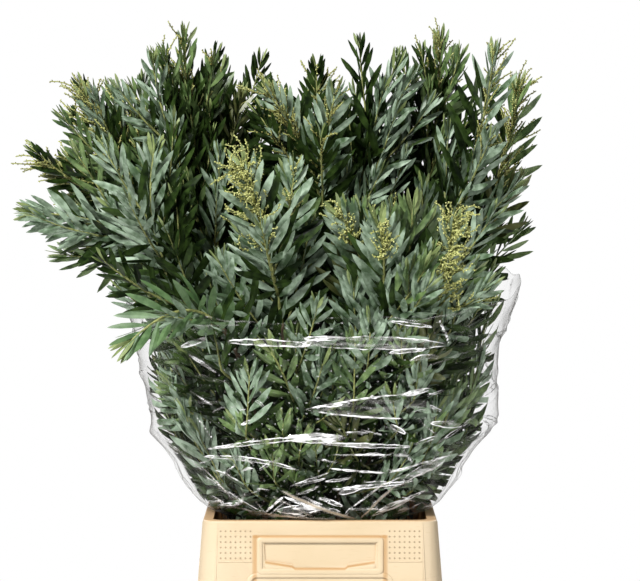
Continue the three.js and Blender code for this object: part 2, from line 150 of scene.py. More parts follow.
class NodeSheet:
    """The nodes of one material or world, added by a single method."""

    def __init__(self, name: str, world: bool = False) -> None:
        """Makes an empty material or world with an output.

        Args:
            name: Its name.
            world: True makes a world.
        """
        self.owner = (bpy.data.worlds if world else bpy.data.materials).new(name)
        self.owner.use_nodes = True
        self.tree = self.owner.node_tree
        self.tree.nodes.clear()
        self.output = self.tree.nodes.new("ShaderNodeOutputWorld" if world else "ShaderNodeOutputMaterial")

    def node(self, kind: str, settings: dict[str, Any], values: dict[Any, Any]) -> list[Socket]:
        """Adds any node.

        Args:
            kind: The node's type.
            settings: Its properties.
            values: The numbers, colours or Sockets of its inputs, by name or place.

        Returns:
            Its outputs as Sockets.
        """
        made = self.tree.nodes.new(kind)
        for key, value in settings.items():
            setattr(made, key, value)
        for key, value in values.items():
            if isinstance(value, Socket):
                self.tree.links.new(value.link, made.inputs[key])
            else:
                made.inputs[key].default_value = value
        return [Socket(self, output) for output in made.outputs]

    def place(self) -> Socket:
        """The point of the surface, in the object's own metres."""
        return self.node("ShaderNodeTexCoord", {}, {})[3]

    def noise(self, scale: float | Vector3, detail: float = 3.0) -> Socket:
        """Soft noise from 0 to 1, read at the surface's own point.

        Args:
            scale: How many patches go into a metre, for all axes or each.
            detail: How many finer layers it has.

        Returns:
            The noise's value.
        """
        at = self.place()
        if isinstance(scale, tuple):
            at, scale = self.node("ShaderNodeMapping", {}, {"Vector": at, "Scale": scale})[0], 1.0
        return self.node("ShaderNodeTexNoise", {}, {"Vector": at, "Scale": scale, "Detail": detail})[0]

    def mix(self, share: Any, first: Any, second: Any) -> Socket:
        """A colour between two others.

        Args:
            share: How much of the second colour, from 0 to 1.
            first: The first colour.
            second: The second colour.

        Returns:
            The mixed colour.
        """
        pair = [c if isinstance(c, Socket) else (*c, 1.0) for c in (first, second)]
        values = {0: share, 6: pair[0], 7: pair[1]}
        return self.node("ShaderNodeMix", {"data_type": "RGBA"}, values)[2]

    def bump(self, height: Socket, strength: float, distance: float) -> Socket:
        """A normal that leans with a height from 0 to 1, by a share of the relief's depth in metres."""
        values = {"Height": height, "Strength": strength, "Distance": distance}
        return self.node("ShaderNodeBump", {}, values)[0]

    def attribute(self, name: str) -> Socket:
        """The value that the mesh keeps under a name."""
        return self.node("ShaderNodeAttribute", {"attribute_name": name}, {})[2]

    def surface(self, values: dict[str, Any]) -> bpy.types.Material:
        """Ends the material with one Principled shader."""
        return self.finish(self.node("ShaderNodeBsdfPrincipled", {}, values)[0])

    def finish(self, shader: Socket) -> Any:
        """Puts a shader on the output, and gives back the material or world."""
        self.tree.links.new(shader.link, self.output.inputs["Surface"])
        return self.owner


class Tone(Enum):
    """The plain base colours of the leaves, dealt out by spray: darker and lighter side of each.

    The darkest green is also painted shade, given to leaves and shoots inside the bunch.
    """

    BLUE_GREY = ((0.060, 0.106, 0.048), (0.316, 0.412, 0.300))
    GREY_GREEN = ((0.032, 0.068, 0.015), (0.176, 0.262, 0.094))
    # Nearly black: painted shade inside the bunch, and the deep tone of a few sprays and strays.
    DEEP_GREEN = ((0.004, 0.010, 0.002), (0.032, 0.060, 0.012))
    OLIVE = ((0.050, 0.062, 0.016), (0.130, 0.145, 0.046))
    FRESH = ((0.050, 0.104, 0.034), (0.122, 0.208, 0.084))
    YOUNG = ((0.130, 0.175, 0.052), (0.255, 0.315, 0.125))


@dataclass(frozen=True)
class LeafFinish:
    """A leaf's slightly waxy face."""

    tone: Tone
    patches: float = 30.0
    flecks: float = 95.0
    veins: float = 900.0
    vein_depth: float = 0.0003
    roughness: float = 0.34
    gloss: float = 0.5
    shaded_gloss: float = 0.1

    def material(self) -> bpy.types.Material:
        """The leaf's material: two close greens in patches, with fine veins as relief.

        Returns:
            The material.
        """
        sheet = NodeSheet("leaf_" + self.tone.name.lower())
        patch = (sheet.noise(self.patches, 2.0) * 0.5 + sheet.noise(self.flecks, 2.0) * 0.5).ramp(0.40, 0.60)
        return sheet.surface({
            "Base Color": sheet.mix(patch, *self.tone.value),
            "Roughness": self.roughness + 0.16 * sheet.noise(120.0),
            "Specular IOR Level": self.shaded_gloss if self.tone is Tone.DEEP_GREEN else self.gloss,
            "Normal": sheet.bump(sheet.noise(self.veins, 2.0), 0.25, self.vein_depth),
        })


@dataclass(frozen=True)
class SkinFinish:
    """The skin of twigs, stalks or buds: two close colours in patches, and a fine grain.

    Patches and grain are a noise's scale and detail. Roughness is a plain share and what the grain
    adds, and relief is the grain's strength and depth.
    """

    name: str
    dark: Vector3
    light: Vector3
    patches: Span = (260.0, 4.0)
    grain: Span = (260.0, 4.0)
    roughness: Span = (0.55, 0.2)
    relief: Span = (0.5, 0.0006)

    def material(self) -> bpy.types.Material:
        """The skin's material.

        Returns:
            The material.
        """
        sheet = NodeSheet(self.name)
        shade, grain = sheet.noise(*self.patches).ramp(0.35, 0.65), sheet.noise(*self.grain)
        return sheet.surface({
            "Base Color": sheet.mix(shade, self.dark, self.light),
            "Roughness": self.roughness[0] + self.roughness[1] * grain,
            "Normal": sheet.bump(grain, *self.relief),
        })


@dataclass(frozen=True)
class BarkFinish:
    """The brown bark of a cut stem."""

    dark: Vector3 = (0.060, 0.040, 0.022)
    light: Vector3 = (0.175, 0.130, 0.078)
    furrows: Vector3 = (520.0, 520.0, 60.0)
    marks: Vector3 = (180.0, 180.0, 520.0)
    relief: float = 0.0012

    def material(self) -> bpy.types.Material:
        """The bark's material: shade and relief follow furrows along the stem and marks across it.

        Returns:
            The material.
        """
        sheet = NodeSheet("bark")
        furrows = sheet.noise(self.furrows, 5.0)
        marks = sheet.noise(self.marks, 2.0).ramp(0.62, 0.72)
        shade = (furrows.ramp(0.3, 0.7) + marks * 0.5).clamped()
        return sheet.surface({
            "Base Color": sheet.mix(shade, self.dark, self.light),
            "Roughness": 0.92 - 0.2 * furrows,
            "Normal": sheet.bump(furrows + marks * 0.4, 0.7, self.relief),
        })


@dataclass(frozen=True)
class MouldedPlastic:
    """The container's cream-coloured moulded plastic, a little scuffed.

    Sizes are heights and distances from the middle, a pair of them is where something fades in or
    out, and a blur is half a band's width.
    """

    name: str = "container_plastic"
    cream: Vector3 = (0.568, 0.450, 0.290)
    pale: Vector3 = (0.615, 0.492, 0.332)
    scuffed: Vector3 = (0.470, 0.345, 0.200)
    # Painted glow: light shining through the thin plastic, painted amber on the inner faces and the rim's
    # flat top.
    painted_glow: Vector3 = (0.580, 0.285, 0.090)
    shade: Vector3 = (0.450, 0.255, 0.100)
    scuffs: Vector3 = (70.0, 70.0, 420.0)
    dusty_foot: Span = (0.0, 0.12)
    rim_top: Span = (0.3338, 0.3346)
    frame_side: float = 0.0788
    side_blur: float = 0.0036
    frame_foot: Span = (0.226, 0.236)
    frame_head: Span = (0.3165, 0.3185)
    frame_top: float = 0.3160
    top_blur: float = 0.0024
    frame_corner: Span = (0.0770, 0.0820)
    lip_height: float = 0.2772
    lip_step: Span = (0.030, 0.034)
    lip_slope: Span = (0.035, 0.0656)
    lip_climbs: Span = (0.0029, 0.0049)
    lip_blur: float = 0.0019
    lip_end: Span = (0.0656, 0.0666)

    @staticmethod
    def _band(away: Socket, half: float) -> Socket:
        """A soft band: 1 - (away / half)^2, and 0 outside it."""
        return (1.0 - away * away * (1.0 / half**2)).clamped()

    def _frame_shade(self, across: Socket, height: Socket) -> Socket:
        """Soft bands of shade beside the card frame, above it and along the climbing lips under it.

        Args:
            across: The distance from the container's middle.
            height: The height.

        Returns:
            The shade, from 0 to 1.
        """
        beside = self._band(across - self.frame_side, self.side_blur) * height.ramp(*self.frame_foot)
        beside = beside * (1.0 - height.ramp(*self.frame_head))
        above = self._band(height - self.frame_top, self.top_blur)
        above = above * (1.0 - across.ramp(*self.frame_corner))
        step, slope = self.lip_climbs
        lip = self.lip_height + across.ramp(*self.lip_step) * step + across.ramp(*self.lip_slope) * slope
        lip = self._band(height - lip, self.lip_blur) * (1.0 - across.ramp(*self.lip_end))
        return (beside * 0.75 + above * 0.85 + lip * 0.9).clamped()

    def material(self) -> bpy.types.Material:
        """The plastic's material: broad clouds, scuffs, dust low down, painted shade by the card frame,
        and an amber painted glow of light through the thin plastic inside and on the rim's flat top.

        Returns:
            The material.
        """
        sheet = NodeSheet(self.name)
        clouds = sheet.noise(9.0, 3.0).ramp(0.35, 0.65)
        scuffs = sheet.noise(self.scuffs, 6.0).ramp(0.60, 0.78)
        axes = sheet.node("ShaderNodeSeparateXYZ", {}, {0: sheet.place()})
        across, height = (axes[0] * axes[0]) ** 0.5, axes[2]
        low = 1.0 - height.ramp(*self.dusty_foot)
        base = sheet.mix(clouds, self.cream, self.pale)
        base = sheet.mix((scuffs * 0.35 + low * 0.25 * clouds).clamped(), base, self.scuffed)
        base = sheet.mix(self._frame_shade(across, height), base, self.shade)
        # Painted glow of light through the thin plastic: on inner faces, and fainter on the rim's flat top.
        painted_glow = (sheet.attribute("inner") * 0.9 + height.ramp(*self.rim_top) * 0.45).clamped()
        return sheet.surface({
            "Base Color": sheet.mix(painted_glow, base, self.painted_glow),
            "Roughness": 0.34 + 0.12 * clouds + 0.22 * scuffs,
            "Specular IOR Level": 0.5,
            "Normal": sheet.bump(sheet.noise(700.0, 3.0), 0.12, 0.0004),
        })


@dataclass(frozen=True)
class ClearFilm:
    """Thin clear film: see-through, with painted highlights along its folds and hem, and staggered rows of
    small holes.
    """

    hole_pitch: float = 0.0161
    row_pitch: float = 0.0128
    hole_radius: float = 0.0011
    line_width: float = 0.74
    fraying: Vector3 = (110.0, 110.0, 330.0)
    breaks: Vector3 = (55.0, 55.0, 140.0)
    streaks: Vector3 = (34.0, 34.0, 200.0)
    haze: Vector3 = (0.500, 0.475, 0.450)
    # White is the colour of the painted highlights on fold lines and the hem, of the milky haze and painted
    # glare in folds, and of the holes.
    white: Vector3 = (0.970, 0.970, 0.980)
    tan: Vector3 = (0.420, 0.350, 0.255)

    def _holes(self, sheet: NodeSheet) -> Socket:
        """A mask of the small holes, read from the film's own map in metres.

        Two grids of cells lie half a cell apart, with a hole in the middle of each cell.

        Args:
            sheet: The material's nodes.

        Returns:
            1 on each hole, 0 elsewhere.
        """
        at = sheet.node("ShaderNodeUVMap", {"uv_map": "film_metres"}, {})[0]
        axes = sheet.node("ShaderNodeSeparateXYZ", {}, {0: at})
        mask: Any = 0.0
        for shift in (0.0, 0.5):
            across = ((axes[0] * (1 / self.hole_pitch) + shift).fraction() - 0.5) * self.hole_pitch
            up = ((axes[1] * (1 / self.row_pitch) + shift).fraction() - 0.5) * self.row_pitch
            far = (across * across + up * up) ** 0.5
            mask = mask + (1.0 - far.ramp(0.5 * self.hole_radius, 1.2 * self.hole_radius))
        return mask

    def material(self) -> bpy.types.Material:
        """The film's material: a clear shader and a shiny one, mixed by folds, edges and holes.

        A fold's line is a painted highlight: its strength less (distance / width)^2, with the distance
        frayed by noise.
        Film seen edge on is shinier.

        Returns:
            The material.
        """
        sheet = NodeSheet("clear_film")
        fraying = (sheet.noise(self.fraying, 3.0) - 0.5) * 2.2
        away = sheet.attribute("edge") + fraying
        line = (sheet.attribute("line") - away * away * (1.0 / self.line_width**2)).clamped()
        milk, hem, warm = (sheet.attribute(name) for name in ("milk", "hem", "warm"))
        broken = sheet.noise(self.breaks, 2.0).ramp(0.40, 0.58)
        streaks = sheet.noise(self.streaks, 2.0).ramp(0.48, 0.55)
        # Painted highlights: the fold lines and the hem; in folds, milky haze that is partly painted glare.
        glint = (line * (0.26 + 1.15 * broken)).clamped()
        cloud_and_glare = (milk * (0.16 + 0.95 * streaks * (0.35 + 0.65 * broken))).clamped()
        facing = sheet.node("ShaderNodeLayerWeight", {}, {"Blend": 0.5})[1]
        holes = self._holes(sheet) * (0.4 + 0.8 * broken) * (1.0 - facing).clamped()
        edge = facing ** 3.0 * 0.18 + facing ** 14.0 * 0.85
        marks = glint * 0.92 + cloud_and_glare * 0.8 + hem * 0.28 + holes * 0.24 + warm * 0.75
        share = (0.003 + edge + marks).clamped()
        pale = sheet.mix((glint + cloud_and_glare + hem * 0.5 + holes).clamped(), self.haze, self.white)
        shiny = sheet.node("ShaderNodeBsdfPrincipled", {}, {
            "Base Color": sheet.mix(warm, pale, self.tan),
            "Roughness": 0.08 + 0.14 * streaks,
            "Specular IOR Level": 0.8,
            "Normal": sheet.bump(broken, 0.15, 0.003),
        })[0]
        clear = sheet.node("ShaderNodeBsdfTransparent", {}, {"Color": (0.985, 0.985, 0.985, 1.0)})[0]
        mixed = sheet.node("ShaderNodeMixShader", {}, {0: share, 1: clear, 2: shiny})[0]
        return sheet.finish(mixed)


# Meshes


@dataclass
class Soup:
    """Points and faces of one piece, gathered from arrays and joined at the end."""

    points: list[Array] = field(default_factory=list)
    faces: dict[int, list[Array]] = field(default_factory=lambda: {3: [], 4: []})
    count: int = 0

    def add(self, points: Array, *faces: Array) -> None:
        """Adds one shape, or many copies of one.

        Args:
            points: Points, (copies, n, 3) or (n, 3).
            faces: Index arrays of triangles or quads into one copy's n points.
        """
        points = points if points.ndim == 3 else points[None]
        copies, size = points.shape[:2]
        starts = self.count + size * np.arange(copies)[:, None, None]
        for group in faces:
            corners = group.shape[1]
            self.faces[corners].append((group[None] + starts).reshape(-1, corners))
        self.points.append(points.reshape(-1, 3))
        self.count += copies * size

    def mesh(self, name: str) -> bpy.types.Mesh:
        """Writes the arrays into one mesh with foreach_set.

        Args:
            name: The mesh's name.

        Returns:
            The mesh, with its edges worked out.
        """
        groups = [np.concatenate(group) for group in self.faces.values() if group]
        points = np.concatenate(self.points).astype(np.float32)
        corners = np.concatenate([group.ravel() for group in groups]).astype(np.int32)
        sizes = np.concatenate([np.full(len(group), group.shape[1], np.int32) for group in groups])
        mesh = bpy.data.meshes.new(name)
        mesh.vertices.add(len(points))
        mesh.vertices.foreach_set("co", points.ravel())
        mesh.loops.add(len(corners))
        mesh.loops.foreach_set("vertex_index", corners)
        mesh.polygons.add(len(sizes))
        mesh.polygons.foreach_set("loop_start", np.concatenate([[0], np.cumsum(sizes)[:-1]]).astype(np.int32))
        mesh.update(calc_edges=True)
        return mesh


def grid_faces(rows: int, columns: int, closed: bool) -> Array:
    """Quads between the rows of a grid of points.

    Args:
        rows: Rows of the grid.
        columns: Points in a row.
        closed: True joins each row's last point to its first.

    Returns:
        Quads, (faces, 4), that face outwards where rows climb and points turn anticlockwise.
    """
    span = columns if closed else columns - 1
    row, column = np.meshgrid(np.arange(rows - 1), np.arange(span), indexing="ij")
    after = (column + 1) % columns
    low, high = row * columns, (row + 1) * columns
    return np.stack([low + column, low + after, high + after, high + column], axis=-1).reshape(-1, 4)


def fan(middle: int, first: int, sides: int, forward: bool) -> Array:
    """Triangles from a middle point to each pair of neighbours in a ring of points.

    Args:
        middle: The middle point's index.
        first: The index of the ring's first point.
        sides: Points in the ring.
        forward: True goes round in the ring's own direction, False against it.

    Returns:
        Triangles, (sides, 3).
    """
    around, after = first + np.arange(sides), first + (np.arange(sides) + 1) % sides
    pair = (around, after) if forward else (after, around)
    return np.stack([np.full(sides, middle), *pair], axis=-1)


def ring_turns(sides: int) -> Array:
    """The angles of points spaced evenly round a ring."""
    return np.arange(sides) * 2 * math.pi / sides


def turned(first: Array, second: Array, turn: Array) -> Array:
    """Directions turned from one to another: first cos a + second sin a, for each angle a."""
    return first * np.cos(turn)[..., None] + second * np.sin(turn)[..., None]


def unit(vectors: Array) -> Array:
    """Vectors of length 1: each is divided by its own length."""
    return vectors / np.maximum(np.linalg.norm(vectors, axis=-1, keepdims=True), 1e-12)


def outward(points: Array) -> Array:
    """The level direction from the bunch's middle line to each point: (x, y, 0), made unit."""
    return unit(points * np.array([1.0, 1.0, 0.0]))


def square_to(ways: Array, axis: Array) -> Array:
    """Directions made square to an axis: v - axis (v . axis), made unit."""
    return unit(ways - axis * (ways * axis).sum(axis=1, keepdims=True))


def bezier(points: Sequence[Array], count: int) -> Array:
    """Points on a Bezier curve: the controls weighted by the Bernstein terms of t.

    Args:
        points: Three or four control points.
        count: How many points to give.

    Returns:
        The points, (count, 3).
    """
    t = np.linspace(0, 1, count)[:, None]
    order = len(points) - 1
    weights = [math.comb(order, k) * t**k * (1 - t) ** (order - k) for k in range(order + 1)]
    return sum(weight * point for weight, point in zip(weights, points))


def put_in_scene(name: str, data: Any) -> bpy.types.Object:
    """Makes an object of a mesh, a lamp or a camera.

    Args:
        name: The object's name.
        data: Its mesh, lamp or camera.

    Returns:
        The object.
    """
    made = bpy.data.objects.new(name, data)
    bpy.context.scene.collection.objects.link(made)
    return made


def make_piece(
    mesh: bpy.types.Mesh, material: bpy.types.Material, replaced: Sequence[str] = ()
) -> bpy.types.Object:
    """Makes a mesh a smooth-shaded piece of the part, at the origin, on the part's one body.

    Args:
        mesh: The finished mesh, which gives the piece its name.
        material: Its material.
        replaced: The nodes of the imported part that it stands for.

    Returns:
        The piece.
    """
    mesh.materials.clear()
    mesh.materials.append(material)
    mesh.polygons.foreach_set("use_smooth", np.ones(len(mesh.polygons), bool))
    piece = put_in_scene(mesh.name, mesh)
    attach(piece, "root")
    if replaced:
        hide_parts(*replaced)
    LOG.info("%s: %d triangles", piece.name, len(mesh.loops) - 2 * len(mesh.polygons))
    return piece


# The clear film


@dataclass(frozen=True)
class Fold:
    """A fold pressed into the film: a slim lens between two lines of painted highlight, with milky
    haze, partly painted glare, and tan inside.

    Its ends are (along, height), where along is x across the front and elsewhere the way round the
    bunch, and gap and lift its lens's width and its middle's rise, all in millimetres. The other
    fields are strengths from 0 to 1.
    """

    start: Span
    end: Span
    gap: float
    milk: float = 0.5
    upper: float = 1.0
    lower: float = 1.0
    lift: float = 0.0
    warm: float = 0.0


FRONT_FOLDS = (
    Fold((-49, 373), (49, 334), 4, 0.1, 0.1, 0.1, lift=-2, warm=1.0),
    Fold((47, 334), (90, 378), 3, 0.1, 0.1, 0.1, lift=1, warm=0.9),
    Fold((-58, 366), (-8, 340), 1.5, 0.1, 0.1, 0.1, warm=0.6),
    Fold((-148, 404), (-96, 345), 1.0, 0.1, 0.6, 0.1, lift=2, warm=0.5),
    Fold((-120, 352), (20, 337), 2.5, 0.1, 0.1, 0.2, lift=-4, warm=0.7),
    Fold((92, 376), (150, 402), 1.5, 0.1, 0.4, 0.1, warm=0.5),
    Fold((-191, 570), (-92, 573), 1.5, 0.2, 0.7, 0.3),
    Fold((-168, 544), (-136, 557), 6, 0.9),
    Fold((-159, 537), (-124, 515), 3, 0.9),
    Fold((-114, 553), (-7, 549), 8, 0.6, lift=1),
    Fold((-24, 552), (153, 548), 16, 0.35, lift=2),
    Fold((-20, 558), (32, 558), 5, 0.9),
    Fold((80, 540), (126, 544), 5, 1.0),
    Fold((105, 530), (144, 533), 5, 0.8, 1.0, 0.3, lift=3),
    Fold((83, 578), (136, 570), 4, 0.5),
    Fold((142, 580), (155, 549), 2, 0.7),
    Fold((-19, 472), (122, 492), 1, 0.5, lift=3),
    Fold((-19, 472), (102, 460), 1, 0.5, lift=-2),
    Fold((-12, 472), (132, 478), 26, 0.22, 0.0, 0.0),
    Fold((94, 488), (132, 496), 6, 0.8),
    Fold((-136, 421), (14, 440), 5, 0.5, lift=3),
    Fold((-42, 437), (30, 438), 12, 0.85, 0.6, 1.0),
    Fold((0, 431), (112, 425), 5, 0.5),
    Fold((-141, 411), (-24, 397), 5, 0.4, 1.0, 0.7, lift=6),
    Fold((-94, 452), (-82, 459), 3, 1.0),
    Fold((-151, 462), (-129, 435), 1, 0.3, 0.8, 0.0),
    Fold((83, 453), (105, 441), 5, 0.8),
    Fold((132, 454), (170, 448), 8, 0.6),
    Fold((114, 428), (143, 437), 4, 0.6),
    Fold((13, 417), (81, 416), 1.5, 0.5, 1.0, 0.6),
    Fold((10, 400), (82, 393), 1.5, 0.5),
    Fold((80, 393), (160, 412), 2, 0.7),
    Fold((97, 382), (153, 408), 10, 0.75, 0.7, 1.0),
    Fold((14, 374), (115, 382), 4, 0.4),
    Fold((22, 369), (52, 378), 8, 0.85),
    Fold((-2, 365), (28, 353), 5, 0.85),
    Fold((59, 338), (129, 369), 4, 0.5),
    Fold((69, 345), (106, 358), 8, 0.95),
    Fold((-53, 347), (5, 352), 11, 0.9),
    Fold((-66, 344), (-44, 365), 2, 0.5),
    Fold((-44, 365), (-12, 353), 3, 0.6),
    Fold((-117, 350), (-92, 354), 4, 0.8),
    Fold((-139, 388), (-66, 343), 4, 0.3, 0.6, 0.4, lift=-4),
    Fold((-36, 378), (12, 395), 2, 0.3, 0.8, 0.4),
    Fold((-94, 339), (-16, 341), 4, 0.5, 0.6, 0.6),
    Fold((-186, 428), (-140, 392), 3, 0.3, 0.6, 0.5),
    Fold((143, 428), (190, 461), 3, 0.3, 0.6, 0.5),
)


ROUND_LOOKS = {"gap": (1, 7), "milk": (0.2, 0.8), "upper": (0.5, 1.0), "lower": (0.2, 1.0), "lift": (-5, 5)}
SMALL_LOOKS = {"gap": (0.5, 3.5), "milk": (0.2, 0.9), "upper": (0.2, 0.9), "lower": (0, 0.7), "lift": (-2, 2)}


@dataclass
class FilmSleeve:
    """The clear film round the bunch.

    Its rings are the oval's half width, half depth and height, from inside the mouth up. A corner is
    its side, depth, height and half height. A point further than no_line from every fold's lines, in
    millimetres, has none.
    """

    rings: tuple[Vector3, ...] = (
        (0.119, 0.168, 0.309),
        (0.124, 0.173, 0.331),
        (0.127, 0.176, 0.3354),
        (0.139, 0.188, 0.3357),
        (0.151, 0.199, 0.345),
        (0.160, 0.206, 0.358),
        (0.180, 0.215, 0.394),
        (0.208, 0.226, 0.432),
        (0.218, 0.234, 0.480),
        (0.227, 0.240, 0.544),
        (0.240, 0.247, 0.585),
        (0.256, 0.259, 0.650),
    )
    corners: tuple[tuple[float, ...], ...] = (
        (1, 0.009, 0.452, 0.040),
        (-1, 0.007, 0.429, 0.034),
        (1, 0.003, 0.374, 0.016),
        (-1, 0.003, 0.374, 0.016),
    )
    roundness: float = 2.5
    top_mean: float = 0.609
    top_right: float = 0.017
    top_back: float = 0.032
    top_ripple: float = 0.005
    left_lift: float = 0.012
    right_drop: float = 0.010
    hem_width: float = 0.0014
    bulges: float = 0.0030
    gathers: float = 0.0020
    ripples: float = 0.0010
    rim_height: float = 0.345
    front_columns: int = 230
    other_columns: int = 106
    rows: int = 290
    small_folds: int = 60
    round_folds: int = 110
    map_radius: float = 0.235
    no_line: float = 9.0
    seed: int = 41

    def halves(self, height: Array) -> tuple[Array, Array]:
        """The oval's half width and half depth at heights, in straight lines between the rings."""
        table = np.array(self.rings)
        return np.interp(height, table[:, 2], table[:, 0]), np.interp(height, table[:, 2], table[:, 1])

    def top(self, turn: Array) -> Array:
        """The height of the plain hem: a mean, tilted to the right and back, with three waves round it."""
        tilt = self.top_right * np.cos(turn) + self.top_back * np.sin(turn)
        return self.top_mean + tilt + self.top_ripple * np.sin(3 * turn + 1)

    def share(self, points: Array, margin: float = 0.0) -> Array:
        """How far out points stand: |x/a|^n + |y/b|^n, which is 1 on the film's oval.

        Args:
            points: Points, (..., 3).
            margin: How much both halves of the oval, a and b, are cut by.

        Returns:
            Less than 1 inside the oval, more outside.
        """
        wide, deep = self.halves(points[..., 2])
        across = np.abs(points[..., 0] / (wide - margin)) ** self.roundness
        return across + np.abs(points[..., 1] / (deep - margin)) ** self.roundness

    def below_hem(self, points: Array) -> Array:
        """True where points are lower than the hem at their angle round the bunch."""
        return points[..., 2] < self.top(np.arctan2(points[..., 1], points[..., 0]))

    def hold(self, points: Array, inside: Array, margin: float) -> Array:
        """Keeps shapes on their own side of the film.

        Below the hem, a point on the wrong side moves along its radius by share^(-1/n).

        Args:
            points: Points, (shapes, n, 3).
            inside: For each shape, True if it grows inside the film.
            margin: How far from the film's oval it stays.

        Returns:
            The points, moved where needed.
        """
        held = points.copy()
        low = self.below_hem(points)
        for keep_in, sign in ((True, 1.0), (False, -1.0)):
            share = self.share(points, sign * margin)
            past = share > 1 if keep_in else share < 1
            move = low & past & (inside[:, None] == keep_in)
            scale = np.where(move, np.maximum(share, 1e-6) ** (-1 / self.roundness), 1.0)
            held[..., :2] *= scale[..., None]
        return held

    @staticmethod
    def _drawn_fold(
        rng: np.random.Generator, middle: Span, half: float, angle: float, looks: dict[str, Span]
    ) -> Fold:
        """A fold through a middle point, with looks drawn between limits.

        Args:
            rng: The source of its looks.
            middle: Its middle, (along, height) in millimetres.
            half: Half its length.
            angle: Its slope as an angle.
            looks: The limits of its other fields, in the order of their draws.

        Returns:
            The fold.
        """
        across, up = half * math.cos(angle), half * math.sin(angle)
        drawn = {name: rng.uniform(*limits) for name, limits in looks.items()}
        return Fold((middle[0] - across, middle[1] - up), (middle[0] + across, middle[1] + up), **drawn)

    def _round_folds(self) -> list[Fold]:
        """Seeded folds for the sides and the back, in millimetres round the bunch from the right.

        Most are long low down and lie flat, and every third stands steep near the hem.

        Returns:
            The folds.
        """
        rng = np.random.default_rng(self.seed)
        made = []
        for number in range(self.round_folds):
            climb = rng.random() ** 1.3
            along = PER_METRE * self.map_radius * rng.uniform(-0.3 * math.pi, 1.3 * math.pi)
            height = 350 + 215 * climb
            half = rng.uniform(20, 50) + 45 * climb
            angle = rng.normal(0.0, 0.22 if climb > 0.3 else 0.46)
            if number % 3 == 0:
                height, half, angle = 560 + 45 * climb, 0.55 * half, angle + 1.45
            made.append(self._drawn_fold(rng, (along, height), half, angle, ROUND_LOOKS))
        return made

    def _small_folds(self) -> list[Fold]:
        """Seeded small crumples low on the front, between the larger folds.

        Returns:
            The folds.
        """
        rng = np.random.default_rng(self.seed + 1)
        made = []
        for _ in range(self.small_folds):
            middle = (rng.uniform(-150, 150), 343 + 150 * rng.random() ** 1.6)
            angle, half = rng.normal(0.0, 0.5), rng.uniform(5, 22)
            made.append(self._drawn_fold(rng, middle, half, angle, SMALL_LOOKS))
        return made

    def _press(self, fold: Fold, along: Array, height: Array, where: Array, into: dict[str, Array]) -> None:
        """Presses one fold into the sheet.

        With s from -1 to 1 along it, its middle is lifted by lift (1 - s^2) and its two lines stand
        apart by gap (1 - s^2)^0.7, both with a small wobble. The sheet keeps the millimetres from
        each point to the nearest line, less than 0 inside the lens, which stands proud by a bell
        curve.

        Args:
            fold: The fold.
            along: Places along the sheet.
            height: Heights.
            where: 1 where the fold may be, 0 elsewhere.
            into: The relief, lines and strengths, which it adds to.
        """
        (x0, z0), (x1, z1) = np.array(fold.start) * MILLIMETRE, np.array(fold.end) * MILLIMETRE
        length = math.hypot(x1 - x0, z1 - z0)
        cos, sin = (x1 - x0) / length, (z1 - z0) / length
        s = 2 * ((along - x0) * cos + (height - z0) * sin) / length - 1
        swell = np.clip(1 - s**2, 0, 1)
        off = (height - z0) * cos - (along - x0) * sin - MILLIMETRE * fold.lift * swell
        off = off + 0.0003 * np.sin(310 * along + 5 * np.sin(140 * height)) * np.sin(520 * height + 3 * s)
        half = 0.5 * MILLIMETRE * fold.gap * swell**0.7 * (0.93 + 0.07 * np.sin(170 * along + 40 * fold.gap))
        fade = np.clip(swell * 4, 0, 1) * where
        edge = PER_METRE * (np.abs(off) - half)
        reach = 1.5 * abs(cos) + 4.0 * abs(sin)
        nearer = (np.abs(edge) < np.minimum(2 * reach, np.abs(into["edge"]))) & (fade > 0)
        strength = np.where(off > 0, fold.upper, fold.lower) * fade * (np.abs(edge) < reach)
        if fold.upper + fold.lower > 0:
            into["edge"] = np.where(nearer, edge, into["edge"])
            into["line"] = np.where(nearer, strength, into["line"])
        lens = np.clip((half + 0.0006 - np.abs(off)) / 0.0012, 0, 1)
        into["milk"] = np.maximum(into["milk"], fold.milk * lens * fade)
        into["warm"] = np.maximum(into["warm"], fold.warm * lens * fade)
        proud = np.exp(-((off / (half + 0.0022)) ** 2)) * fade
        into["relief"] = into["relief"] + (0.0012 + 0.12e-3 * fold.gap) * proud

    def _relief(self, turn: Array, height: Array) -> Array:
        """How far the sheet stands out of its oval before the folds are pressed in.

        Bulges and ripples are products of a wave round the bunch and one in height, and gathers
        deepen towards the mouth. A corner is a tent in height, strong only at its side.

        Args:
            turn: Angles round the bunch.
            height: Heights.

        Returns:
            The relief in metres.
        """
        free = np.clip((height - self.rim_height) / 0.03, 0, 1)
        near_mouth = np.exp(-((height - 0.36) / 0.05) ** 2) * free
        relief = self.bulges * free * np.sin(5 * turn + 9 * height) * np.sin(38 * height + 2 * turn)
        relief = relief + self.gathers * near_mouth * np.sin(31 * turn + 3 * np.sin(4 * turn))
        fine = self.ripples * free * np.sin(160 * height + 4 * np.sin(3 * turn))
        relief = relief + fine * np.sin(7 * turn + 1)
        for side, depth, middle, half in self.corners:
            tent = np.clip(1 - np.abs(height - middle) / half, 0, 1)
            relief = relief + depth * tent * np.clip(side * np.cos(turn), 0, 1) ** 6
        return relief

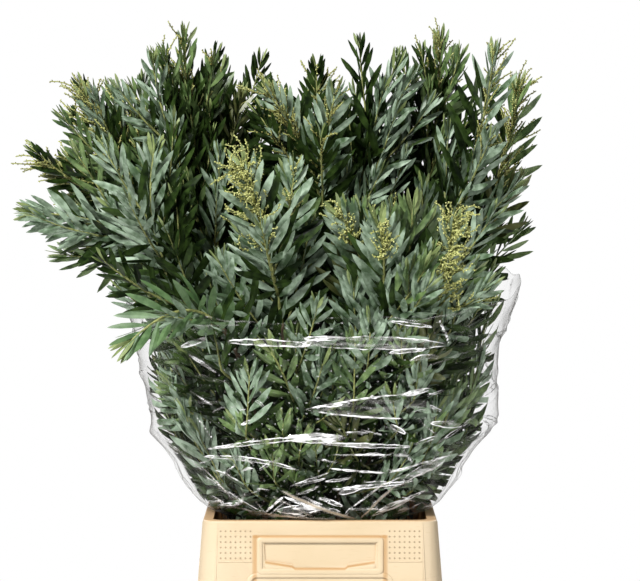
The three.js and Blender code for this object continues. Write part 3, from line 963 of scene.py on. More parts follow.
    def _folded(self, turn: Array, height: Array, x: Array, y: Array) -> dict[str, Array]:
        """The sheet's relief with every fold pressed in, and what its material reads at each point.

        Args:
            turn: Angles round the bunch.
            height: Heights.
            x: The oval's points from left to right.
            y: The oval's points from front to back.

        Returns:
            The relief, the distance from the nearest line, and the strengths of the line's painted
            highlight, of the milky haze and painted glare, and of warm.
        """
        flat = np.zeros_like(x)
        sheet = {"relief": self._relief(turn, height), "edge": flat + self.no_line}
        sheet.update(line=flat, milk=flat, warm=flat)
        facing = np.clip(-y / 0.10, 0, 1)
        for fold in (*FRONT_FOLDS, *self._small_folds()):
            self._press(fold, x, height, facing, sheet)
        around = np.where(turn < -0.5 * math.pi, turn + 2 * math.pi, turn) * self.map_radius
        for fold in self._round_folds():
            self._press(fold, np.broadcast_to(around, x.shape), height, np.clip(1.2 - facing, 0, 1), sheet)
        return sheet

    def build(self) -> bpy.types.Object:
        """Builds the film as one sheet over a grid of angle and height, finer across the front.

        A point is the oval at its height, a cos^(2/n) and b sin^(2/n) with n growing from 2.05 to
        2.5, moved out along its radius by the relief. Its upper edge is the plain hem, lifted at the
        left, lowered at the right and finely waved. The hem's line, a painted highlight, is a thin
        bell in height.

        Returns:
            The film's piece.
        """
        front = np.linspace(-math.pi, 0, self.front_columns, endpoint=False)
        rest = np.linspace(0, math.pi, self.other_columns, endpoint=False)
        turn = np.concatenate([front, rest])[None]
        cos, sin = np.cos(turn), np.sin(turn)
        lean = self.left_lift * np.clip(-cos, 0, 1) ** 2 - self.right_drop * np.clip(cos, 0, 1) ** 3
        hem = self.top(turn) + lean + 0.003 * np.sin(9 * turn + 2) + 0.0015 * np.sin(23 * turn)
        foot = self.rings[0][2]
        height = foot + (hem - foot) * np.linspace(0, 1, self.rows)[:, None]
        wide, deep = self.halves(height)
        power = 2 / (2.05 + 0.45 * np.clip((height - self.rim_height) / 0.09, 0, 1))
        x = wide * np.sign(cos) * np.abs(cos) ** power
        y = deep * np.sign(sin) * np.abs(sin) ** power
        sheet = self._folded(turn, height, x, y)
        settle = np.clip((height - 0.337) / 0.010, 0, 1)
        grown = 1 + settle * sheet["relief"] / np.hypot(x, y)
        soup = Soup()
        points = np.stack([x * grown, y * grown, height], axis=-1).reshape(-1, 3)
        soup.add(points, grid_faces(self.rows, turn.size, closed=True))
        mesh = soup.mesh("film_sleeve")
        plain = np.clip((np.abs(x) - 0.070) / 0.030, 0, 1) + (y > 0)
        # The hem's painted highlight, fainter across the middle of the front.
        sheet["hem"] = np.exp(-(((hem - height) / self.hem_width) ** 2)) * np.clip(plain, 0.15, 1)
        for name in ("edge", "line", "milk", "warm", "hem"):
            kept = mesh.attributes.new(name, "FLOAT", "POINT")
            kept.data.foreach_set("value", np.ascontiguousarray(sheet[name], np.float32).ravel())
        self._write_map(mesh, np.broadcast_to(turn * self.map_radius, x.shape), height)
        return make_piece(mesh, ClearFilm().material(), ["clear_film_sleeve"])

    def _write_map(self, mesh: bpy.types.Mesh, along: Array, height: Array) -> None:
        """Keeps the film's unrolled metres as its UV map, one turn further where a face closes the ring.

        Args:
            mesh: The film.
            along: Each point's way round the bunch.
            height: Each point's height.
        """
        columns = along.shape[1]
        index = np.zeros(len(mesh.loops), np.int32)
        mesh.loops.foreach_get("vertex_index", index)
        coords = np.stack([along.ravel(), height.ravel()], axis=-1)[index]
        closing = index.reshape(-1, 4) % columns
        closing = (closing.max(axis=1, keepdims=True) == columns - 1) & (closing == 0)
        coords[closing.ravel(), 0] += 2 * math.pi * self.map_radius
        layer = mesh.uv_layers.new(name="film_metres")
        layer.data.foreach_set("uv", coords.astype(np.float32).ravel())


# The sprays


class Habit(Enum):
    """What a spray carries besides its leaves."""

    PLAIN = "leaves alone"
    SPARSE = "a few strings of buds"
    BUDDED = "strings of buds along its upper part"
    TUFTED = "a small head of buds at its tip"
    HEAVY = "a thick head of buds"


BUD_SHARES = {
    Habit.PLAIN: 0.0,
    Habit.SPARSE: 0.25,
    Habit.BUDDED: 0.5,
    Habit.TUFTED: 0.6,
    Habit.HEAVY: 1.0,
}
STRAY_TONES = {Tone.GREY_GREEN: 0.55, Tone.DEEP_GREEN: 0.35, Tone.OLIVE: 0.10}
BUD_SKIN = ((150.0, 2.0), (2600.0, 1.0), (0.5, 0.25), (0.4, 0.0003))


@dataclass(frozen=True)
class SpraySpec:
    """One spray: its furthest tip in millimetres, the way it grows there, its colour and habit.

    Rise and reach are how straight its leader starts and ends, leaf is the size of its leaves, and
    branches how far up it has side shoots.
    """

    name: str
    tip: Vector3
    aim: Vector3
    tone: Tone = Tone.BLUE_GREY
    habit: Habit = Habit.PLAIN
    rise: float = 0.4
    reach: float = 0.4
    leaf: float = 1.0
    branches: float = 1.0


SPRAYS = (
    SpraySpec("tall_left", (-168, 40, 949), (0.05, 0.05, 1), Tone.GREY_GREEN, Habit.SPARSE, leaf=0.84),
    SpraySpec("left_crest", (-211, -40, 916), (-0.15, -0.1, 1), leaf=0.84),
    SpraySpec("left_shoulder", (-271, 110, 879), (-0.25, 0.15, 1), Tone.GREY_GREEN, leaf=0.84),
    SpraySpec("left_brow", (-305, 15, 872), (-0.5, 0, 1), habit=Habit.BUDDED, leaf=0.88),
    SpraySpec("left_saddle", (-127, 140, 912), (0, 0.15, 1), Tone.GREY_GREEN, leaf=0.84),
    SpraySpec("far_left_buds", (-367, 75, 774), (-1, 0.1, 0.5), Tone.OLIVE, Habit.BUDDED, leaf=0.86),
    SpraySpec("far_left", (-378, -90, 705), (-1, -0.1, 0.02), rise=0.55),
    SpraySpec("low_left", (-318, 30, 656), (-1, 0.1, -0.15), Tone.DEEP_GREEN, rise=0.55, leaf=1.04),
    SpraySpec("centre_left", (-77, -60, 868), (-0.65, -0.1, 0.8), habit=Habit.BUDDED),
    SpraySpec("centre_back", (-3, 150, 888), (0, 0.2, 1), Tone.GREY_GREEN, Habit.BUDDED, leaf=0.86),
    SpraySpec("centre_right", (105, 20, 912), (0.4, 0, 1), leaf=0.94),
    SpraySpec("right_crest", (153, 95, 944), (0, 0.1, 1), Tone.GREY_GREEN, Habit.SPARSE, leaf=0.9),
    SpraySpec("tall_right", (218, -50, 921), (0.12, -0.05, 1), habit=Habit.SPARSE, leaf=1.06, branches=0.7),
    SpraySpec(
        "far_right", (253, 70, 880), (0.12, 0.1, 1), Tone.GREY_GREEN, Habit.BUDDED,
        leaf=1.12, branches=0.7,
    ),
    SpraySpec("front_left", (-195, -185, 803), (0.2, -0.15, 1), leaf=1.04),
    SpraySpec("front_left_buds", (-101, -212, 786), (-0.35, -0.15, 1), habit=Habit.HEAVY, leaf=1.08),
    SpraySpec("front_middle_buds", (12, -190, 725), (-0.5, -0.2, 0.8), habit=Habit.TUFTED, leaf=1.06),
    SpraySpec("front_middle", (66, -228, 718), (-0.2, -0.15, 1), habit=Habit.TUFTED, leaf=1.1),
    SpraySpec("front_right", (112, -170, 735), (0, -0.1, 1), Tone.GREY_GREEN, leaf=1.08),
    SpraySpec("front_right_buds", (160, -215, 716), (0.05, -0.2, 1), habit=Habit.HEAVY, leaf=1.06),
    SpraySpec(
        "draped_left", (-243, -272, 537), (-0.75, -0.12, -0.75), Tone.FRESH,
        rise=0.62, reach=0.48, leaf=1.12, branches=0.55,
    ),
    SpraySpec("sleeved_right", (150, -165, 640), (0.1, -0.1, 1), habit=Habit.BUDDED, leaf=1.1),
    SpraySpec("sleeved_left", (-178, -80, 580), (-0.5, -0.1, 0.9), Tone.GREY_GREEN, Habit.BUDDED, leaf=1.1),
    SpraySpec("sleeved_front", (-70, -200, 560), (-0.5, -0.15, 0.9), Tone.GREY_GREEN, leaf=1.12),
    SpraySpec("back_left", (-165, 225, 790), (-0.3, 0.35, 1)),
    SpraySpec("back_middle", (20, 250, 820), (0, 0.35, 1), Tone.GREY_GREEN, Habit.BUDDED),
    SpraySpec("back_right", (180, 215, 785), (0.3, 0.35, 1)),
    SpraySpec("sleeved_back", (60, 175, 600), (0.2, 0.2, 1), Tone.DEEP_GREEN),
)


@dataclass
class Shoot:
    """A leafy stem: points along its middle line, its thickness, and how it is clothed.

    Bare is the leafless share of its foot, leaf the size of its leaves, buds how heavily it buds,
    inside whether it grows within the film, and woody the brown share of a leader.
    """

    line: Array
    radius: float
    tip_radius: float
    tone: Tone
    bare: float = 0.0
    leaf: float = 1.0
    buds: float = 0.0
    inside: bool = True
    woody: float = 0.0

    def __post_init__(self) -> None:
        """Works out how far along the line each of its points lies."""
        steps = np.linalg.norm(np.diff(self.line, axis=0), axis=1)
        self.run = np.concatenate([[0.0], np.cumsum(steps)])

    @property
    def length(self) -> float:
        """The line's length."""
        return float(self.run[-1])

    def at(self, distance: Array) -> Array:
        """Points on the line at distances from its foot, in straight lines between its points."""
        return np.stack([np.interp(distance, self.run, self.line[:, k]) for k in range(3)], axis=-1)

    def along(self, distance: Array) -> Array:
        """The line's direction at distances: the step between two near points, made unit."""
        near = 0.01 * self.length + 1e-5
        return unit(self.at(distance + near) - self.at(distance - near))

    def thick(self, distance: Array) -> Array:
        """The radius at distances, in a straight taper."""
        return self.radius + (self.tip_radius - self.radius) * distance / self.length

    def frames(self, distance: Array) -> tuple[Array, Array, Array]:
        """Direction and two cross directions at distances.

        The first cross direction is a fixed helper crossed with the line's direction.

        Args:
            distance: Distances from the foot.

        Returns:
            Three arrays of unit vectors.
        """
        way = self.along(distance)
        helper = np.array([0.0, 0.0, 1.0] if abs(way[:, 2].mean()) < 0.8 else [0.0, 1.0, 0.0])
        across = unit(np.cross(helper, way))
        return way, across, np.cross(way, across)

    def tube(self, at: Array, radius: Array, sides: int) -> tuple[Array, Array, Array]:
        """A closed tube along the line.

        A point is line(d) + r (across cos a + other sin a), and a middle point closes either end.

        Args:
            at: Distances of its rings from the foot, (rings,).
            radius: Their radii, (rings, 1) or (rings, sides).
            sides: Points in a ring.

        Returns:
            Points, the ends' triangles and the wall's quads.
        """
        _, across, other = self.frames(at)
        circle = turned(across[:, None], other[:, None], ring_turns(sides))
        points = self.at(at)[:, None] + circle * radius[..., None]
        count = len(at) * sides
        caps = np.concatenate([fan(count, 0, sides, False), fan(count + 1, count - sides, sides, True)])
        points = np.concatenate([points.reshape(-1, 3), self.at(at[[0, -1]])])
        return points, caps, grid_faces(len(at), sides, closed=True)

    def tapered(self, first: float, step: float, sides: int) -> tuple[Array, Array, Array]:
        """The line's plain tapering tube.

        Args:
            first: Where it begins, as a share of the line.
            step: About how far apart its rings are.
            sides: Points in a ring.

        Returns:
            Points, the ends' triangles and the wall's quads.
        """
        rings = max(3, int((1.0 - first) * self.length / step) + 1)
        at = np.linspace(first * self.length, self.length, rings)
        return self.tube(at, self.thick(at)[:, None], sides)


@dataclass
class Bunch:
    """All the sprays: the routes of their stems, as in the part's source, and the shoots on them.

    An ease is how much nearer another leader may be than a side shoot's own, and a spread the
    limits of its angle in degrees. Bare tips are the shootless ends of leaders without a head of
    buds, with a small one and with a thick one.
    """

    film: FilmSleeve
    packed: Array
    neck_height: float = 0.350
    neck_half: Span = (0.096, 0.138)
    neck_share: Span = (0.3, 0.46)
    spacing: float = 0.033
    rounds: int = 60
    foot_share: float = 0.72
    floor: float = 0.0033
    neck_gap: float = 0.0003
    tip_reach: float = 0.024
    route_points: int = 49
    leader_foot: float = 0.300
    leader_radius: float = 0.0032
    leader_tip: float = 0.0013
    leader_woody: float = 0.5
    first_place: float = 0.040
    bare_tips: Vector3 = (0.082, 0.100, 0.135)
    shoot_pitch: float = 0.0240
    low_pitch: float = 0.017
    deep_pitch: float = 0.013
    lowest_height: float = 0.375
    low_height: float = 0.45
    fresh_height: float = 0.55
    deep_heights: Span = (0.62, 0.82)
    inner_height: float = 0.85
    lowest_spread: Span = (62, 84)
    low_spread: Span = (38, 70)
    high_spread: Span = (24, 44)
    tries: int = 8
    try_turn: float = 0.37
    try_shrink: float = 0.06
    longest: float = 0.235
    shortening: float = 0.150
    length_limits: Span = (0.72, 1.15)
    pitch_limits: Span = (0.8, 1.25)
    inward: float = -0.12
    inner_ease: float = 0.110
    outer_ease: float = 0.034
    overhang: float = 0.012
    outstand: float = 0.013
    film_margin: float = 0.024
    side_radius: float = 0.0018
    side_tip: float = 0.0008
    side_bare: float = 0.08
    side_leaf: Span = (0.86, 0.98)
    shaded_chance: float = 0.85
    stray_chance: float = 0.38
    budded_from: float = 0.62
    budded_chance: float = 0.62
    budded_share: float = 0.8
    seed: int = 977
    shoots: list[Shoot] = field(default_factory=list)

    def necks(self) -> Array:
        """Where the stems pass the mouth, pushed apart until no two are nearer than the spacing.

        One past the mouth's oval, |x/a|^n + |y/b|^n = 1, is drawn back to it.

        Returns:
            Places (x, y), one for each spray.
        """
        necks = np.array([spec.tip[:2] for spec in SPRAYS]) * MILLIMETRE * np.array(self.neck_share)
        half = np.array(self.neck_half)
        for _ in range(self.rounds):
            for i in range(len(necks)):
                for j in range(i + 1, len(necks)):
                    apart = necks[j] - necks[i]
                    distance = float(np.linalg.norm(apart))
                    if distance >= self.spacing:
                        continue
                    push = apart / max(distance, 1e-9) * (self.spacing - distance) / 2
                    necks[i] -= push
                    necks[j] += push
                out = float((np.abs(necks[i] / half) ** self.film.roundness).sum())
                if out > 1:
                    necks[i] *= out ** (-1 / self.film.roundness)
        return necks

    def routes(self) -> list[tuple[Array, Array]]:
        """Each stem's straight foot and its leader: a cubic Bezier from the neck to near the tip.

        Returns:
            For each spray, the foot's two ends and the leader's points.
        """
        made = []
        for spec, neck in zip(SPRAYS, self.necks()):
            foot = np.array([*(neck * self.foot_share), self.floor])
            top = np.array([*neck, self.neck_height])
            way = unit(np.array(spec.aim, float))
            end = np.array(spec.tip) * MILLIMETRE - way * self.tip_reach
            length = float(np.linalg.norm(top - end))
            climb = unit(top - foot)
            start = top + climb * self.neck_gap
            controls = [start, start + climb * spec.rise * length, end - way * spec.reach * length, end]
            made.append((np.stack([foot, top]), bezier(controls, self.route_points)))
        return made

    def _has_room(self, points: Array, own: int, lines: Array, ease: float) -> bool:
        """Tells whether a side shoot may grow.

        It stays nearer to its own leader than to any other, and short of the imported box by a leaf's
        overhang.

        Args:
            points: The shoot's points.
            own: Its leader's number.
            lines: Every leader's points.
            ease: How much nearer another leader may be.

        Returns:
            True where it may grow.
        """
        low, high = self.packed + np.array([[self.overhang], [-self.overhang]])
        if (points < low).any() or (points > high).any():
            return False
        far = np.linalg.norm(points[:, None, None] - lines[None], axis=-1).min(axis=2)
        return bool((far[:, own, None] < far + ease).all())

    def in_box(self, points: Array) -> Array:
        """True for each shape, (shapes, n, 3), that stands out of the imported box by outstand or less."""
        low, high = self.packed + np.array([[-self.outstand], [self.outstand]])
        return ((points > low) & (points < high)).all(axis=(1, 2))

    @staticmethod
    def _side_line(leader: Shoot, place: float, length: float, turn: float, spread: float) -> Array:
        """A side shoot's line: a Bezier curve that leaves the leader at a spread and bends up along it.

        Args:
            leader: The shoot that it grows on.
            place: How far up the leader it stands.
            length: Its length.
            turn: The way it points round the leader.
            spread: Its angle from the leader.

        Returns:
            The line's points.
        """
        at = np.array([place])
        way, across, other = (v[0] for v in leader.frames(at))
        out = across * math.cos(turn) + other * math.sin(turn)
        root = leader.at(at)[0]
        first = way * math.cos(spread) + out * math.sin(spread)
        lift = unit(way * 0.75 + np.array([0.0, 0.0, 0.45]))
        middle = root + first * length * 0.5
        return bezier([root, middle, middle + unit(first * 0.72 + lift * 0.5) * length * 0.5], 13)

    @staticmethod
    def _facing(side: Array) -> float:
        """How far a shoot points away from the bunch's middle: the cosine of its angle to that way."""
        return float(unit(side[-1] - side[0]) @ outward(side[0]))

    def _tone(self, spec: SpraySpec, side: Array, rng: np.random.Generator) -> Tone:
        """A side shoot's tone: its spray's, the darkest green as painted shade where it points into the
        bunch, or a stray's.

        Args:
            spec: The spray.
            side: The shoot's points.
            rng: Its source of differences.

        Returns:
            The tone.
        """
        tone = spec.tone
        if tone is Tone.FRESH and side[0, 2] < self.fresh_height and self.film.share(side[:1])[0] < 1:
            tone = Tone.BLUE_GREY
        # A shoot that points into the bunch mostly gets the darkest green, as painted shade.
        if self._facing(side) < self.inward and rng.random() < self.shaded_chance:
            tone = Tone.DEEP_GREEN
        elif rng.random() < self.stray_chance:
            tone = tuple(STRAY_TONES)[rng.choice(len(STRAY_TONES), p=list(STRAY_TONES.values()))]
        return tone

    def grow(self) -> None:
        """Grows every spray from its own seed: the leader first, then side shoots up its length."""
        routes = self.routes()
        lines = np.stack([leader[::3] for _, leader in routes])
        for own, (spec, (foot, line)) in enumerate(zip(SPRAYS, routes)):
            rng = np.random.default_rng(self.seed + 131 * own)
            lowest = (self.leader_foot - foot[0, 2]) / (foot[1, 2] - foot[0, 2])
            start = foot[0] + (foot[1] - foot[0]) * np.linspace(lowest, 1, 5)[:, None]
            leader = Shoot(
                np.concatenate([start, line[1:]]), self.leader_radius, self.leader_tip, spec.tone,
                leaf=spec.leaf, buds=BUD_SHARES[spec.habit], woody=self.leader_woody,
            )
            self.shoots.append(leader)
            self._branch(leader, spec, own, lines, rng)
        LOG.info("%d shoots, %.1f m", len(self.shoots), sum(s.length for s in self.shoots))

    def _branch(
        self, leader: Shoot, spec: SpraySpec, own: int, lines: Array, rng: np.random.Generator
    ) -> None:
        """Grows the side shoots of one leader.

        Each is turned by the golden angle from the last. Low down they stand closer and spread
        wider. One that has no room, or would drop into the sleeve from above its hem, is tried
        again, shorter and turned on.

        Args:
            leader: The leader.
            spec: Its spray.
            own: Its number.
            lines: Every leader's points.
            rng: Its source of differences.
        """
        plain_tip, small_head, thick_head = self.bare_tips
        bare_tip = thick_head if leader.buds > 0.9 else small_head if leader.buds > 0.55 else plain_tip
        place, count = self.first_place, 0
        while place < min(leader.length - bare_tip, leader.length * spec.branches):
            count += 1
            share = place / leader.length
            height = float(leader.at(np.array([place]))[0, 2])
            low = height < self.low_height
            deep = spec.tip[1] > 0 and self.deep_heights[0] < height < self.deep_heights[1]
            spread = self.low_spread if low else self.high_spread
            spread = self.lowest_spread if height < self.lowest_height else spread
            for attempt in range(self.tries):
                length = (self.longest - self.shortening * share) * rng.uniform(*self.length_limits)
                length *= 1 - self.try_shrink * attempt
                turn = (count + self.try_turn * attempt) * GOLDEN_ANGLE + own
                side = self._side_line(leader, place, length, turn, math.radians(rng.uniform(*spread)))
                inner = (self._facing(side) < self.inward or deep) and side[-1, 2] < self.inner_height
                if not self._has_room(side[4:], own, lines, self.inner_ease if inner else self.outer_ease):
                    continue
                root_in = bool(self.film.share(side[:1])[0] < 1)
                root_low, tip_low = self.film.below_hem(side[[0, -1]])
                if root_in and tip_low and not root_low:
                    continue
                side = self.film.hold(side[None], np.array([root_in]), self.film_margin)[0]
                tone = self._tone(spec, side, rng)
                budded = rng.random() < self.budded_chance and share > self.budded_from
                self.shoots.append(Shoot(
                    side, self.side_radius, self.side_tip, tone, self.side_bare,
                    buds=leader.buds * float(budded) * self.budded_share,
                    leaf=spec.leaf * rng.uniform(*self.side_leaf), inside=root_in,
                ))
                break
            pitch = self.low_pitch if low else self.deep_pitch if deep else self.shoot_pitch
            place += pitch * rng.uniform(*self.pitch_limits)

@dataclass
class Foliage:
    """The leaves of every shoot.

    A reach is a distance from a shoot's tip, an angle is in degrees, and a power shapes how leaves
    close or shrink towards the tip. The flats say how much they lie round the bunch.
    """

    bunch: Bunch
    pitch: float = 0.0051
    leader_crowding: float = 0.66
    length: float = 0.053
    width: float = 0.0085
    thick: float = 0.0004
    stations: tuple[float, ...] = (0.14, 0.38, 0.66, 0.90)
    rosette_reach: float = 0.012
    rosette_leaves: int = 7
    young_reach: float = 0.085
    young_leader: float = 0.88
    young_side: float = 0.95
    angle: float = 52.0
    angle_spread: float = 3.5
    angle_closing: float = 30.0
    closing_power: float = 1.3
    twist: float = 0.20
    tip_shrink: float = 0.52
    shrink_power: float = 2.2
    spread_flat: float = 0.70
    pressed_flat: float = 0.80
    lit_leader: float = 0.24
    lit_side: float = 0.090
    lit_behind: float = 0.055
    behind: float = -0.55
    shade_height: float = 0.47
    shade_chance: float = 0.56
    shade_growth: float = 1.2
    sleeve_height: float = 0.56
    film_margin: float = 0.006
    leaves_a_piece: int = 5800

    def _pattern(self) -> tuple[Array, Array, Array]:
        """One leaf's points: a root, a ring of four (left, top, right, bottom) at each station, a tip.

        Its half width is w(s) = s^0.86 (1 - s)^0.78, scaled to 1/2 at its widest.

        Returns:
            Station, sideways share and upward share of each point.
        """
        stations = np.array(self.stations)
        grow = stations**0.86 * (1 - stations) ** 0.78
        half = 0.5 * grow / grow.max()
        along = np.concatenate([[0.0], np.repeat(stations, 4), [1.0]])
        sideways = np.concatenate([[0.0], (half[:, None] * np.array([-1, 0, 1, 0])).ravel(), [0.0]])
        upward = np.concatenate([[0.0], np.tile([0.0, 1.0, 0.0, -1.0], len(stations)), [0.0]])
        return along, sideways, upward

    def _leaf_points(
        self, root: Array, way: Array, side: Array, size: Array, rng: np.random.Generator
    ) -> Array:
        """Leaves as arrays.

        A point is root + L s way + side (W v + c L s^2) + normal (t u + f |v| W + b L s^2), where c
        bends, f folds and b arches the blade.

        Args:
            root: Roots, (n, 3).
            way: Directions, (n, 3).
            side: Directions across the blades, (n, 3).
            size: Scale of each leaf, (n,).
            rng: The source of its small differences.

        Returns:
            Points, (n, points of a leaf, 3).
        """
        s, v, u = self._pattern()
        count = len(root)
        normal = np.cross(way, side)
        length = self.length * size * rng.uniform(0.92, 1.07, count)
        width = self.width * size**0.8 * rng.uniform(0.9, 1.1, count)
        curl = rng.normal(0.11, 0.03, count)
        arch = rng.normal(0.0, 0.04, count)
        crease = rng.normal(0.18, 0.10, count)
        over_side = width[:, None] * v + (curl * length)[:, None] * s**2
        over_normal = self.thick * u + (crease * width)[:, None] * np.abs(v) + (arch * length)[:, None] * s**2
        points = root[:, None] + (length[:, None] * s)[..., None] * way[:, None]
        return points + over_side[..., None] * side[:, None] + over_normal[..., None] * normal[:, None]

    def _spread_out(self, points: Array, way: Array, out: Array) -> Array:
        """Turns leaves to lie round the bunch, as sprays do that are packed side by side.

        The part of each direction that points away from the bunch's middle is cut by a share,
        larger under the film.

        Args:
            points: Where the leaves stand.
            way: The shoot's direction there.
            out: The leaves' directions, square to the shoot.

        Returns:
            The new directions.
        """
        film, away = self.bunch.film, outward(points)
        under = film.below_hem(points) & (film.share(points) < 1)
        flat = np.where(under, self.pressed_flat, self.spread_flat)[:, None]
        return square_to(out - flat * away * (out * away).sum(axis=1, keepdims=True), way)

    def _clothe(self, shoot: Shoot, rng: np.random.Generator) -> list[tuple[Tone, Array]]:
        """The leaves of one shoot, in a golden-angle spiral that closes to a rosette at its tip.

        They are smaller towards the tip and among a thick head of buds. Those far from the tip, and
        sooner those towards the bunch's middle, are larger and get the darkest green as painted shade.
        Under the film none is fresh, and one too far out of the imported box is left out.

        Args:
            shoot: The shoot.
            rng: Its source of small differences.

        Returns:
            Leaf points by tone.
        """
        film = self.bunch.film
        pitch = self.pitch * shoot.leaf * (self.leader_crowding if shoot.woody else 1.0)
        main = np.arange(shoot.bare * shoot.length, shoot.length - self.rosette_reach, pitch)
        tip = np.linspace(shoot.length - self.rosette_reach, shoot.length - 0.001, self.rosette_leaves)
        at = np.concatenate([main, tip])
        count, from_tip, middle = len(at), shoot.length - at, shoot.at(at)
        near_tip = np.clip(1 - from_tip / self.young_reach, 0, 1)
        way, across, other = shoot.frames(at)
        turn = np.arange(count) * GOLDEN_ANGLE + rng.uniform(0, 6) + rng.normal(0, 0.06, count)
        out = turned(across, other, turn)
        behind = (out * outward(middle)).sum(axis=1) < self.behind
        out = self._spread_out(middle, way, out)
        closing = self.angle_closing * near_tip**self.closing_power
        leaf = turned(way, out, np.radians(rng.normal(self.angle, self.angle_spread, count) - closing))
        side = square_to(way, leaf)
        side = turned(side, np.cross(leaf, side), rng.normal(0, self.twist, count))
        root = middle + out * (0.3 * shoot.thick(at))[:, None]
        size = shoot.leaf * (1.0 - self.tip_shrink * near_tip**self.shrink_power)
        size[(shoot.buds > 0.9) & (near_tip > 0.15) & (rng.random(count) < 0.6)] *= 0.5
        lit = (self.lit_leader if shoot.woody else self.lit_side) * rng.uniform(0.75, 1.25, count)
        shaded = (from_tip > lit) | (behind & (from_tip > self.lit_behind))
        shaded &= (root[:, 2] > self.shade_height) | (rng.random(count) < self.shade_chance)
        size[shaded] *= self.shade_growth
        points = self._leaf_points(root, leaf, side, size, rng)
        within = film.share(root) < 1
        points = film.hold(points, within, self.film_margin)
        kinds = np.full(count, shoot.tone, object)
        # Leaves out of reach of the light get the darkest green, as painted shade.
        kinds[shaded] = Tone.DEEP_GREEN
        kinds[near_tip > (self.young_leader if shoot.woody else self.young_side)] = Tone.YOUNG
        covered = film.below_hem(root) & within & (root[:, 2] < self.sleeve_height)
        kinds[covered & (kinds == Tone.FRESH)] = Tone.BLUE_GREY
        kept = self.bunch.in_box(points)
        return [(tone, points[kept & (kinds == tone)]) for tone in set(kinds)]

    def build(self) -> None:
        """Joins the leaves, each tone apart, into pieces of under 200,000 triangles."""
        rng = np.random.default_rng(self.bunch.seed + 5)
        sorted_out: dict[Tone, list[Array]] = {tone: [] for tone in Tone}
        for shoot in self.bunch.shoots:
            for tone, points in self._clothe(shoot, rng):
                sorted_out[tone].append(points)
        rings = len(self.stations)
        ends = np.concatenate([fan(0, 1, 4, False), fan(4 * rings + 1, 4 * rings - 3, 4, True)])
        walls = 1 + grid_faces(rings, 4, closed=True)
        for tone, groups in sorted_out.items():
            leaves = np.concatenate(groups)
            material = LeafFinish(tone).material()
            parts = np.array_split(leaves, math.ceil(len(leaves) / self.leaves_a_piece))
            for number, part in enumerate(parts, 1):
                soup = Soup()
                soup.add(part, ends, walls)
                mesh = soup.mesh(f"{tone.name.lower()}_leaves" + (f"_{number}" if len(parts) > 1 else ""))
                self._sharpen(mesh)
                make_piece(mesh, material)
            LOG.info("%s: %d leaves", tone.name, len(leaves))

    def _sharpen(self, mesh: bpy.types.Mesh) -> None:
        """Keeps the midrib and margins of leaves crisp: edges along a leaf are sharp.

        Args:
            mesh: Leaves, one after the other.
        """
        ends = np.zeros(len(mesh.edges) * 2, np.int32)
        mesh.edges.foreach_get("vertices", ends)
        size = 4 * len(self.stations) + 2
        local = ends.reshape(-1, 2) % size
        pole = (local == 0) | (local == size - 1)
        rail = (local - 1) % 4
        sharp = pole.any(axis=1) | (rail[:, 0] == rail[:, 1])
        mesh.attributes.new("sharp_edge", "BOOLEAN", "EDGE").data.foreach_set("value", sharp)


@dataclass
class Wood:
    """The stems with their brown bark, from the container's floor up, and the green shoots beyond."""

    bunch: Bunch
    brown_share: float = 0.52
    stem_radius: float = 0.0046
    stem_top: float = 0.0026
    stem_sides: int = 8
    stem_pitch: float = 0.0062
    foot_points: int = 40
    twig_pitch: float = 0.010
    leader_sides: int = 6
    side_sides: int = 5

    def _stems(self) -> None:
        """Builds the woody stems with relief, up to where they turn green.

        The radius at height z and turn a is r (1 + 0.07 sin(7a + 30z) sin(90z) + knots), where knots
        are narrow bells every 2 pi / 26 metres.
        """
        soup = Soup()
        rng = np.random.default_rng(self.bunch.seed + 9)
        turn = ring_turns(self.stem_sides)
        for (foot, leader), spec in zip(self.bunch.routes(), SPRAYS):
            woody = leader[1 : int(self.brown_share * len(leader)) + 2]
            straight = foot[0] + (foot[1] - foot[0]) * np.linspace(0, 1, self.foot_points)[:, None]
            stem = Shoot(np.concatenate([straight, woody]), self.stem_radius, self.stem_top, spec.tone)
            at = np.arange(0, stem.length, self.stem_pitch)
            up = at[:, None]
            phase = rng.uniform(0, 6, 3)
            ridges = 0.07 * np.sin(7 * turn + phase[0] + 30 * up) * np.sin(90 * up + phase[1])
            knots = 0.16 * np.exp(-((np.sin(26 * up + phase[2]) - 1) ** 2) / 0.02)
            radius = stem.thick(up) * (1 + ridges + knots)
            points, ends, walls = stem.tube(at, radius, self.stem_sides)
            points[:, 2] = np.maximum(points[:, 2], self.bunch.floor)
            soup.add(points, ends, walls)
        nodes = ["stem_" + spec.name for spec in SPRAYS]
        make_piece(soup.mesh("bark_stems"), BarkFinish().material(), nodes)

    def _twigs(self) -> None:
        """Builds the green upper shoots as one piece, for the nodes of the sprays."""
        soup = Soup()
        for shoot in self.bunch.shoots:
            sides = self.leader_sides if shoot.woody else self.side_sides
            soup.add(*shoot.tapered(shoot.woody, self.twig_pitch, sides))
        finish = SkinFinish("green_twig", (0.115, 0.130, 0.032), (0.300, 0.320, 0.105))
        nodes = ["spray_" + spec.name for spec in SPRAYS]
        make_piece(soup.mesh("green_twigs"), finish.material(), nodes)

    def build(self) -> None:
        """Builds the stems and the twigs."""
        self._stems()
        self._twigs()


@dataclass(frozen=True)
class StringRule:
    """How strings of buds stand on one kind of shoot.

    Reach is how far below the tip they start, count how many a fully budded shoot has, and lean
    their greatest angle from it in degrees. The rest scales their length and how they hang.
    """

    reach: float = 0.06
    count: float = 18
    lean: float = 50.0
    outward: float = 0.15
    length: float = 0.8
    droop: float = 0.12
    bend: float = 0.09


